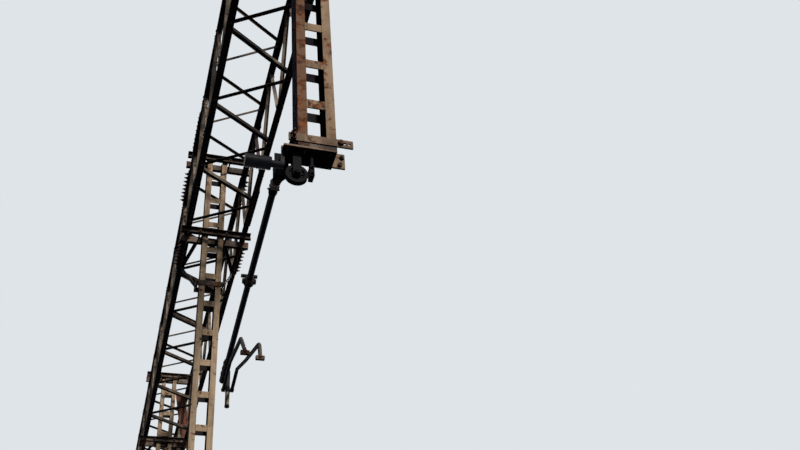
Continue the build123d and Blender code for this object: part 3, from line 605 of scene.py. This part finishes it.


# Feet of the drop posts
# A cross bar on each face, drawn together by long bolts beside the post, and a seat plate under the channels' ends
# with an upstand in front. They wear the posts' paint, with rust breaking through in small patches.
BAR_THICKNESS = 0.012
TIE_SIZE = 0.018
TIES = ((-0.145, 0.047), (-0.145, 0.081), (0.137, 0.063))
REAR_HEAD = 0.015
REAR_HEADS = ((-0.168, 0.030), (-0.168, 0.064), (-0.168, 0.098), (0.170, 0.030), (0.184, 0.090))
SEAT_THICKNESS = 0.012
SEAT_BOLT = 0.014
SEAT_BOLTS_ASIDE = (-0.175, -0.075, 0.075)
SEAT_BOLTS_ALONG = (-0.050, 0.050)
UPSTAND_THICKNESS = 0.007
UPSTAND_HEIGHT = 0.030
UPSTAND_RISE = 0.013                 # of its middle over the channels' ends
# the seat's underside, which faces down, is painted shade
foot_paint = weathered_paint_with_shade("oil_paint_on_feet", "#857160", "#5d4b3f", "#6b4733", 0.5, 0.45, 0.7, patch=0.05,
                             shade_depth=0.95)
bolts = bmesh.new()
seat_bolts = bmesh.new()
upstands = bmesh.new()
for name, post in posts.items():
    dress(f"{name}_foot", foot_paint)
    low, middle = post["low"], post["middle"]
    front_y, rear_y = low.y - BAR_THICKNESS, post["high"].y + BAR_THICKNESS
    for aside, rise in TIES:
        tie = Vector((middle.x + aside, front_y, low.z + rise))
        if aside < 0:
            # the left bolts run through both bars, the right ones end in each
            stud(bolts, tie, Y, TIE_SIZE / 2, rear_y - front_y, sides=10)
        hexagon_bolt(bolts, tie, -Y, TIE_SIZE, 1.6 if aside < 0 else 0.3)
        hexagon_bolt(bolts, (tie.x, rear_y, tie.z), Y, TIE_SIZE)
    for aside, rise in REAR_HEADS:
        hexagon_bolt(bolts, (middle.x + aside, post["high"].y, low.z + rise), -Y, REAR_HEAD, 0.5)
    for aside in SEAT_BOLTS_ASIDE:
        for along in SEAT_BOLTS_ALONG:
            seat = (middle.x + aside, middle.y + along, low.z - SEAT_THICKNESS)
            hexagon_bolt(seat_bolts, seat, -Z, SEAT_BOLT, 0.7)
    upstand_y, upstand_z = low.y - UPSTAND_THICKNESS / 2, low.z + UPSTAND_RISE
    flat_bar(upstands, (low.x, upstand_y, upstand_z), (post["high"].x, upstand_y, upstand_z), Y, UPSTAND_HEIGHT,
             UPSTAND_THICKNESS)
finish_piece("foot_bolts", bolts, bolt_steel)
finish_piece("seat_upstands", upstands, clamp_paint)


# Hinge bracket, wheel and guide under the first post
# The bracket's ears hold the cantilever's upright pin. A cast iron wheel turns on its axle between two cheeks, with
# a guide block beside it. All of it is tarred, and its near-black colour is tar and painted shade, so it hardly
# throws back any light.
# near-black tar, darkened further as painted shade
tar_and_shade = weathered_paint_with_shade("tarred_iron_and_painted_shade", "#121216", "#0a0a0d", "#241a17", 0.5, 0.2, 0.65, patch=0.03, shade_depth=0.9,
                      gloss=0.06)
dress("post_1_hinge_bracket", tar_and_shade)
# the bolts under the seat are near-black as painted shade
finish_piece("seat_bolts", seat_bolts, tar_and_shade)
dress("pulley_stirrup", tar_and_shade)
dress("wire_guide", tar_and_shade)


def turned(shape, outline, place, steps=28, ring=False):
    """Spins an outline of (radius, height) pairs about Z and sets the form in place. A ring's outline is closed."""
    fresh = bmesh.new()
    verts = [fresh.verts.new((radius, 0, height)) for radius, height in outline]
    edges = [fresh.edges.new(pair) for pair in zip(verts, verts[1:])]
    if ring:
        edges.append(fresh.edges.new((verts[-1], verts[0])))
    bmesh.ops.spin(fresh, geom=verts + edges, cent=(0, 0, 0), axis=(0, 0, 1), dvec=(0, 0, 0), angle=2 * math.pi,
                   steps=steps, use_merge=True, use_duplicate=False)
    bmesh.ops.remove_doubles(fresh, verts=fresh.verts, dist=0.001 * MILLIMETRE)
    bmesh.ops.transform(fresh, matrix=place, verts=fresh.verts)
    mesh = bpy.data.meshes.new("turned")
    fresh.to_mesh(mesh)
    fresh.free()
    shape.from_mesh(mesh)
    bpy.data.meshes.remove(mesh)


def arc(centre, radius, start, end, steps):
    """Points on an arc of an outline, from one angle in degrees to another."""
    points = []
    for step in range(steps + 1):
        angle = math.radians(start + (end - start) * step / steps)
        points.append((centre[0] + radius * math.cos(angle), centre[1] + radius * math.sin(angle)))
    return points


def sloped_ring(inner, outer, low, high, slope=0.0):
    """Outline of a ring whose end faces slope outwards by so much."""
    return [(inner, low), (outer, low + slope), (outer, high - slope), (inner, high)]


pulley_low, pulley_high = corners_of("pulley")
axle = (pulley_low + pulley_high) / 2
rim_radius = (pulley_high.x - pulley_low.x) / 2
half_width = (pulley_high.y - pulley_low.y) / 2
LIP = 0.003
FILLET = 0.003
HUB_RADIUS = 0.026
HUB_FLARE = 0.004                    # how far the hub's foot widens into the web
RIM_INNER = rim_radius - 0.024
RIM_DRAFT = 0.001
WEB_HALF = 0.007
BORE = 0.0101
GROOVE_RADIUS = 0.014
GROOVE_CENTRE = rim_radius + 0.004
RIBS = 5
RIB_SIZE = 0.006
to_axle = Matrix.Translation(axle) @ Matrix.Rotation(math.pi / 2, 4, "X")
side = [(HUB_RADIUS - FILLET, half_width), (HUB_RADIUS, half_width - FILLET)]
side += [(HUB_RADIUS + HUB_FLARE / 2, WEB_HALF + HUB_FLARE / 2), (HUB_RADIUS + HUB_FLARE, WEB_HALF)]
side += [(RIM_INNER - FILLET, WEB_HALF), (RIM_INNER, WEB_HALF + FILLET), (RIM_INNER + RIM_DRAFT, half_width - LIP)]
side += [(RIM_INNER + LIP, half_width)]
outline = [(BORE, -half_width)] + [(radius, -height) for radius, height in side]
outline += arc((rim_radius - LIP, -half_width + LIP), LIP, -90, 60, 4)
outline += arc((GROOVE_CENTRE, 0), GROOVE_RADIUS, 225, 135, 8)
outline += arc((rim_radius - LIP, half_width - LIP), LIP, -60, 90, 4)
outline += side[::-1] + [(BORE, half_width)]
shape = bmesh.new()
turned(shape, outline, to_axle, steps=48, ring=True)
# ribs stiffen the web on each side
for number in range(RIBS):
    angle = 2 * math.pi * number / RIBS
    radial = Vector((math.cos(angle), 0, math.sin(angle)))
    for sign in (-1, 1):
        middle = axle + Y * sign * (WEB_HALF + RIB_SIZE / 2)
        flat_bar(shape, middle + radial * (HUB_RADIUS - MILLIMETRE), middle + radial * (RIM_INNER + MILLIMETRE), Y,
                 RIB_SIZE, RIB_SIZE)
finish_piece("cast_wheel", shape, tar_and_shade, body="pulley", smooth=40, replaced=("pulley",))

AXLE_SIZE = 0.020
AXLE_SEAT = 0.006                    # how far a nut sits inside the stirrup's end
WASHER = sloped_ring(0.0102, 0.019, -0.002, 0.002)
WASHER_PLACE = 0.0025                # from the wheel's side to a washer's middle
GUIDE_BOLT = 0.010
GUIDE_BOLT_RISES = (0.018, 0.062)
shape = bmesh.new()
stirrup_low, stirrup_high = corners_of("pulley_stirrup")
for sign in (-1, 1):
    nut_y = axle.y + sign * ((stirrup_high.y - stirrup_low.y) / 2 - AXLE_SEAT)
    hexagon_bolt(shape, (axle.x, nut_y, axle.z), (0, sign, 0), AXLE_SIZE, 0.3)
    turned(shape, WASHER, Matrix.Translation(Y * sign * (half_width + WASHER_PLACE)) @ to_axle, ring=True)
guide_low, guide_high = corners_of("wire_guide")
guide_middle = (guide_low + guide_high) / 2
for rise in GUIDE_BOLT_RISES:
    for sign in (-1, 1):
        seat = (guide_middle.x, guide_middle.y + sign * (guide_high.y - guide_low.y) / 2, guide_low.z + rise)
        hexagon_bolt(shape, seat, (0, sign, 0), GUIDE_BOLT, 0.6)
finish_piece("axle_nuts", shape, tar_and_shade)


# Sleeve beside the wheel
# A thick sleeve of moulded black polythene with three raised rings. It is smooth; its near-black colour is painted
# shade with a painted blue sheen of sky in it, and it is dulled by dust that has settled on it in soft clouds.
DUST_CLOUD = 0.04
GRAIN = 2 * MILLIMETRE
SLEEVE_RISE = 0.039                  # from the sleeve's underside to its axis
RING_PLACES = (0.012, 0.075, 0.138)
sleeve_plastic = bare_material("moulded_polythene_sleeve")
tree = sleeve_plastic.node_tree
place = add(tree, "ShaderNodeTexCoord").outputs["Object"]
dust = add(tree, "ShaderNodeTexNoise", {"Scale": 1 / DUST_CLOUD, "Detail": 5.0}, {"Vector": place})
# painted shade with a painted blue reflection in it, lighter where dust lies
shade_sheen_and_dust = two_tone(tree, dust, 0.4, "#070911", 0.7, "#12141d")
dulled = add(tree, "ShaderNodeMapRange", {"To Min": 0.4, "To Max": 0.75}, {"Value": dust.outputs["Fac"]})
grain = add(tree, "ShaderNodeTexNoise", {"Scale": 1 / GRAIN, "Detail": 2.0}, {"Vector": place})
bump = add(tree, "ShaderNodeBump", {"Strength": 0.15, "Distance": 0.3 * MILLIMETRE},
           {"Height": grain.outputs["Fac"]})
shader = add(tree, "ShaderNodeBsdfPrincipled", {"IOR": 1.5, "Specular IOR Level": 0.1},
             {"Base Color": shade_sheen_and_dust.outputs["Color"], "Roughness": dulled.outputs[0],
              "Normal": bump.outputs["Normal"]})
add(tree, "ShaderNodeOutputMaterial", None, {"Surface": shader.outputs["BSDF"]})
dress("wire_sleeve", sleeve_plastic)
sleeve_low, sleeve_high = corners_of("wire_sleeve")
sleeve_y, sleeve_z = (sleeve_low.y + sleeve_high.y) / 2, sleeve_low.z + SLEEVE_RISE
shape = bmesh.new()
for offset in RING_PLACES:
    place = Matrix.Translation((sleeve_low.x + offset, sleeve_y, sleeve_z)) @ Matrix.Rotation(math.pi / 2, 4, "Y")
    turned(shape, sloped_ring(0.0385, 0.0415, -0.004, 0.004, MILLIMETRE), place, ring=True)
finish_piece("sleeve_rings", shape, sleeve_plastic, smooth=30)


# Cantilevers
# Each has a brown glazed porcelain insulator in cast sockets, a long steel tube with a messenger clamp, a drop tube
# in a long collar, and two cranked steady arms with jaws at their ends. The first one hangs on a real hinge.
SKEW = math.radians(-1.4)
MESSENGER_PLACE = 1.100              # places along the tube are measured from the pin
COLLAR_START = 2.180
DROP_PLACE = 2.330
DROP_ASIDE = 0.024
DROP_LENGTH = 0.310
PIVOT_DROP = 0.165
ARM_ASIDE = 0.033
ARM_RADIUS = 0.0135
ARM_BEND = 0.060
ARMS = {                             # side, and each corner's way aside, back and up from the pivot
    "left": (-1, ((0.0, 0.375, 0.024), (0.004, 0.938, -0.110), (0.006, 1.154, -0.335))),
    "right": (1, ((0.004, 0.250, 0.045), (0.022, 0.580, -0.070), (0.044, 1.079, -0.225), (0.047, 1.101, -0.335))),
}
# outlines are lists of radius and place along the axis
SHED_PLACES = (0.066, 0.102)
REAR_SOCKET = ((0, 0.022), (0.020, 0.022), (0.022, 0.026), (0.023, 0.050), (0.021, 0.052), (0.018, 0.050), (0, 0.050))
FRONT_SOCKET = ((0, 0.114), (0.019, 0.112), (0.026, 0.115), (0.026, 0.146), (0.028, 0.148), (0.028, 0.154),
                (0.026, 0.156), (0.026, 0.168), (0.024, 0.171), (0, 0.171))
SOCKET_RADIUS = 0.026
SOCKET_BOLT_PLACE = 0.132
PIN_REACH = 0.047                    # from the tube's axis to the pin's ends
BRACKET_BOLTS = ((-0.012, 0.070), (-0.012, 0.098), (0.036, 0.070), (0.036, 0.098))
BRACKET_FACE = -0.045
U_BOLT_RADIUS = 0.004
U_BOLT_REACH = 0.0315
U_BOLT_SHIFT = 0.024
CLAMP_EAR = (0.038, 0.008)
CLIP_SHIFTS = (0.03, 0.11, 0.19)
TUBE_RADIUS = 0.0275
CLIP_RADIUS = 0.0315
DROP_RADIUS = 0.0158
PIVOT_CLAMP_RADIUS = 0.0185
ZINC_RADIUS = 0.0168
JAW_SIZE = (0.060, 0.0105, 0.030)
JAW_APART = 0.006
JAW_DROP = 0.014
JAW_EDGE = 0.003
BOSS_RADIUS = 0.018

# Fired brown glaze on porcelain: deep brown that breaks lighter where it runs thin, with a shine under a film of dust
GLAZE_RUN = 0.025
porcelain = bare_material("brown_glazed_porcelain")
tree = porcelain.node_tree
place = add(tree, "ShaderNodeTexCoord").outputs["Object"]
flow = add(tree, "ShaderNodeTexNoise", {"Scale": 1 / GLAZE_RUN, "Detail": 6.0}, {"Vector": place})
glaze = two_tone(tree, flow, 0.35, "#170c09", 0.70, "#3d1f13")
film = add(tree, "ShaderNodeMapRange", {"To Min": 0.15, "To Max": 0.45}, {"Value": flow.outputs["Fac"]})
shader = add(tree, "ShaderNodeBsdfPrincipled", {"IOR": 1.52, "Specular IOR Level": 0.3},
             {"Base Color": glaze.outputs["Color"], "Roughness": film.outputs[0]})
add(tree, "ShaderNodeOutputMaterial", None, {"Surface": shader.outputs["BSDF"]})

tube_paint = weathered_paint_with_shade("dark_paint_on_tubes", "#302e2f", "#1c1a1d", "#422d23", 0.5, 0.3, 0.6, patch=0.06)
fitting_paint = weathered_paint_with_shade("cast_fittings", "#7a6f62", "#4a423b", "#69452f", 0.5, 0.4, 0.6, patch=0.03)
clamp_rust = weathered_paint_with_shade("rusted_wire_clamp", "#6b4a3e", "#43302a", "#7b4a34", 0.5, 0.6, 0.75, patch=0.02)
arm_paint = weathered_paint_with_shade("worn_paint_on_steady_arms", "#55504b", "#2c292a", "#503629", 0.5, 0.3, 0.6,
                            patch=0.05, blotch=0.2)
zinc_tube = weathered_paint_with_shade("dulled_zinc", "#aea897", "#77736a", "#6d4c38", 0.6, 0.3, 0.55, patch=0.03)


def round_edged(radius, start, end, edge=0.003):
    """Outline of a closed round body with broken edges, from its axis to its axis."""
    return [(0, start), (radius - edge, start), (radius, start + edge), (radius, end - edge), (radius - edge, end),
            (0, end)]


def eyelet(bore, radius, half, edge):
    """Outline of a bored eye with broken outer edges."""
    return [(bore, -half), (radius - edge, -half), (radius, edge - half), (radius, half - edge),
            (radius - edge, half), (bore, half)]


def bent_tube(shape, corners, radius, bend, sides=18, steps=7):
    """A round bar of straight runs, which are extruded, and of tangent bends, which are spun."""
    heading = (corners[1] - corners[0]).normalized()
    turn = heading.to_track_quat("Z", "Y").to_matrix().to_4x4()
    made = bmesh.ops.create_circle(shape, cap_ends=True, cap_tris=False, segments=sides, radius=radius,
                                   matrix=Matrix.Translation(corners[0]) @ turn)
    edges = list({edge for vertex in made["verts"] for edge in vertex.link_edges})
    at = corners[0]
    for number in range(1, len(corners)):
        corner = corners[number]
        last = number == len(corners) - 1
        if last:
            run_end = corner
        else:
            onward = (corners[number + 1] - corner).normalized()
            angle = heading.angle(onward)
            run_end = corner - heading * bend * math.tan(angle / 2)
        grown = bmesh.ops.extrude_edge_only(shape, edges=edges)["geom"]
        verts = [item for item in grown if isinstance(item, bmesh.types.BMVert)]
        edges = [item for item in grown if isinstance(item, bmesh.types.BMEdge)]
        edges = [edge for edge in edges if all(vertex in verts for vertex in edge.verts)]
        bmesh.ops.translate(shape, verts=verts, vec=run_end - at)
        at = run_end
        if not last:
            inner = (onward - heading * heading.dot(onward)).normalized()
            spun = bmesh.ops.spin(shape, geom=edges, cent=at + inner * bend, axis=heading.cross(onward),
                                  angle=angle, steps=steps, dvec=(0, 0, 0))["geom_last"]
            edges = [item for item in spun if isinstance(item, bmesh.types.BMEdge)]
            at = corner + onward * bend * math.tan(angle / 2)
            heading = onward
    bmesh.ops.contextual_create(shape, geom=edges)


PARTS_OF_A_CANTILEVER = (
    ("tube", tube_paint, "tubes"), ("messenger_clamp", fitting_paint, "fittings"),
    ("drop_bracket", tube_paint, "fittings"), ("post_1_hinge_bracket", tar_and_shade, "feet"))
hinge = next(joint for joint in frame["record"]["behaviour"]["joints"] if joint["name"] == "cantilever_slew")
for name, post in posts.items():
    real = name == "post_1"
    shift = post["middle"] - posts["post_1"]["middle"]
    shift.z = 0
    pin = Vector(hinge["pos_m"]) + shift
    whole = Matrix.Translation(pin) @ Matrix.Rotation(SKEW, 4, "Z")
    lathe = whole @ Matrix.Rotation(-math.pi / 2, 4, "X")
    body = "cantilever" if real else "portal"
    for node, paint, slot in PARTS_OF_A_CANTILEVER:
        if real:
            dress(node, paint)
            continue
        # the same parts again, under the other posts
        shape = bmesh.new()
        shape.from_mesh(nodes[node].data)
        bmesh.ops.remove_doubles(shape, verts=shape.verts, dist=0.01 * MILLIMETRE)
        bmesh.ops.translate(shape, verts=shape.verts, vec=shift)
        finish_piece(f"{name}_{node.replace('post_1_', '')}", shape, paint, smooth=30,
                     replaced=(f"{name}_cantilever",) if node == "tube" else ())

    # porcelain core with two undercut sheds
    outline = [(0.0, 0.040), (0.017, 0.040), (0.016, 0.048)]
    for middle in SHED_PLACES:
        outline += [(0.016, middle - 0.012), (0.019, middle - 0.009), (0.029, middle - 0.004)]
        outline += arc((0.0295, middle), 0.0028, -80, 80, 5)
        outline += [(0.026, middle + 0.002), (0.019, middle + 0.003), (0.016, middle + 0.007)]
    outline += [(0.016, 0.118), (0.017, 0.124), (0.0, 0.124)]
    shape = bmesh.new()
    turned(shape, outline, lathe, steps=36)
    finish_piece(f"{name}_porcelain", shape, porcelain, body=body, smooth=50)

    # cast eye on the pin, and the two sockets that the porcelain is cemented into
    shape = bmesh.new()
    turned(shape, eyelet(0.0101, 0.027, 0.035, 0.002), whole, ring=True)
    turned(shape, REAR_SOCKET, lathe)
    turned(shape, FRONT_SOCKET, lathe)
    for quarter in range(4):
        radial = Vector((math.cos(quarter * math.pi / 2), 0, math.sin(quarter * math.pi / 2)))
        seat = whole @ (radial * SOCKET_RADIUS + Y * SOCKET_BOLT_PLACE)
        hexagon_bolt(shape, seat, whole.to_3x3() @ radial, 0.008, 0.6)
    finish_piece(f"{name}_insulator_sockets", shape, tar_and_shade, body=body, smooth=35,
                 replaced=("insulator",) if real else ())

    # head and nut of the pin, and the bracket's bolts
    shape = bmesh.new()
    stud(shape, pin + Z * PIN_REACH, Z, 0.016, 0.012, sides=16, taper=0.85)
    hexagon_bolt(shape, pin - Z * PIN_REACH, -Z, 0.020, 0.6)
    for aside, rise in BRACKET_BOLTS:
        hexagon_bolt(shape, pin + Vector((aside, BRACKET_FACE, rise)), Y, 0.012, 0.6)
    finish_piece(f"{name}_hinge_bolts", shape, bolt_steel)

    # U-bolts and nuts of the messenger clamp, and the collar's clips
    shape = bmesh.new()
    for offset in (-U_BOLT_SHIFT, U_BOLT_SHIFT):
        turned(shape, arc((U_BOLT_REACH, 0), U_BOLT_RADIUS, 0, 324, 9),
               lathe @ Matrix.Translation((0, 0, MESSENGER_PLACE + offset)), ring=True)
    for sign_x in (-1, 1):
        for sign_z in (-1, 1):
            seat = whole @ Vector((sign_x * CLAMP_EAR[0], MESSENGER_PLACE, sign_z * CLAMP_EAR[1]))
            hexagon_bolt(shape, seat, (0, 0, sign_z), 0.010, 0.5)
    for offset in CLIP_SHIFTS:
        along = COLLAR_START + offset
        turned(shape, sloped_ring(TUBE_RADIUS, CLIP_RADIUS, -0.010, 0.010, MILLIMETRE),
               lathe @ Matrix.Translation((0, 0, along)), ring=True)
        hexagon_bolt(shape, whole @ Vector((0, along, 0.5 * MILLIMETRE - CLIP_RADIUS)), -Z, 0.009, 0.5)
    finish_piece(f"{name}_tube_fastenings", shape, fitting_paint, body=body, smooth=35)

    # clamp of the cross pin on the drop tube, and the tube's end cap
    drop = whole @ Matrix.Translation((DROP_ASIDE, DROP_PLACE, 0))
    shape = bmesh.new()
    turned(shape, sloped_ring(DROP_RADIUS, PIVOT_CLAMP_RADIUS, -PIVOT_DROP - 0.026, -PIVOT_DROP + 0.026, 0.002),
           drop, ring=True)
    turned(shape, round_edged(PIVOT_CLAMP_RADIUS, -DROP_LENGTH - 0.004, -DROP_LENGTH + 0.016, 0.002), drop)
    finish_piece(f"{name}_pivot_clamp", shape, tar_and_shade, body=body, smooth=35)
    # below the clamp the drop tube is bare, dulled zinc
    shape = bmesh.new()
    turned(shape, sloped_ring(DROP_RADIUS, ZINC_RADIUS, -DROP_LENGTH + 0.012, -PIVOT_DROP - 0.020), drop, ring=True)
    finish_piece(f"{name}_drop_tube_end", shape, zinc_tube, body=body, smooth=35)

    for side, (sign, corners) in ARMS.items():
        arm_body = f"{side}_steady_arm" if real else "portal"
        pivot = Vector((DROP_ASIDE + sign * ARM_ASIDE, DROP_PLACE, -PIVOT_DROP))
        points = [whole @ pivot]
        points += [whole @ (pivot + Vector((aside, -back, up))) for aside, back, up in corners]
        shape = bmesh.new()
        bent_tube(shape, points, ARM_RADIUS, ARM_BEND)
        turned(shape, eyelet(0.0061, 0.0175, 0.0125, 0.001),
               whole @ Matrix.Translation(pivot) @ Matrix.Rotation(math.pi / 2, 4, "Y"), ring=True)
        finish_piece(f"{name}_{side}_arm_tube", shape, arm_paint, body=arm_body, smooth=35,
                     replaced=(f"steady_arm_{side}",) if real else ())
        # two jaws, drawn together by a bolt, under a round boss
        shape = bmesh.new()
        end = points[-1]
        for jaw in (-1, 1):
            plate(shape, Matrix.Translation(end + Vector((0, jaw * JAW_APART, -JAW_DROP))), JAW_SIZE, JAW_EDGE,
                  segments=2)
            hexagon_bolt(shape, end + Vector((0, jaw * 0.011, -0.010)), (0, jaw, 0), 0.009, 0.6)
        turned(shape, round_edged(BOSS_RADIUS, -0.016, 0.004), Matrix.Translation(end))
        finish_piece(f"{name}_{side}_wire_clamp", shape, clamp_rust if side == "left" else clamp_paint,
                     body=arm_body, smooth=35)


# Columns
# Four angle chords laced on all sides, on a ribbed base plate with four anchor bolts. A cap plate carries the
# crossbeam and is bolted to it. They wear the crossbeam's paint.
COLUMN_BAYS = 11
ANCHOR_PLACE = (0.46, 0.36)
ANCHOR_SIZE = 0.033
CAP_BOLT = 0.018
CAP_BOLT_GAUGE = 0.035               # from a chord's corner
CAP_BOLT_ALONG = 0.16                # from the column's middle
CAP_TOP = 0.007                      # over the crossbeam's underside, where the upper nuts sit
CAP_GRIP = 0.023
for column in ("near_column", "far_column"):
    for part in ("chords", "base", "cap"):
        dress(f"{column}_{part}", chord_paint)
    for part in ("near_lacing", "right_lacing", "far_lacing", "left_lacing"):
        dress(f"{column}_{part}", lacing_paint)
    low, high = corners_of(f"{column}_chords")
    pitch = (high.z - low.z) / COLUMN_BAYS
    shape = bmesh.new()
    for corner, across, outward, width in (
            (Vector((low.x, low.y, low.z)), X, -Y, high.x - low.x),
            (Vector((high.x, low.y, low.z)), Y, X, high.y - low.y),
            (Vector((high.x, high.y, low.z)), -X, Y, high.x - low.x),
            (Vector((low.x, high.y, low.z)), -Y, -X, high.y - low.y)):
        rivet_side(shape, corner, across, Z, outward, width, pitch, COLUMN_BAYS)
    finish_piece(f"{column}_rivets", shape, chord_paint)
    shape = bmesh.new()
    middle_y = (low.y + high.y) / 2
    for sign_x in (-1, 1):
        for sign_y in (-1, 1):
            anchor = (sign_x * ANCHOR_PLACE[0], middle_y + sign_y * ANCHOR_PLACE[1], low.z)
            hexagon_bolt(shape, anchor, Z, ANCHOR_SIZE, 1.8)
            cap_bolt = Vector((sign_x * (beam_width / 2 - CAP_BOLT_GAUGE), middle_y + sign_y * CAP_BOLT_ALONG,
                               beam_low.z + CAP_TOP))
            hexagon_bolt(shape, cap_bolt, Z, CAP_BOLT)
            hexagon_bolt(shape, cap_bolt - Z * CAP_GRIP, -Z, CAP_BOLT)
    finish_piece(f"{column}_bolts", shape, bolt_steel)
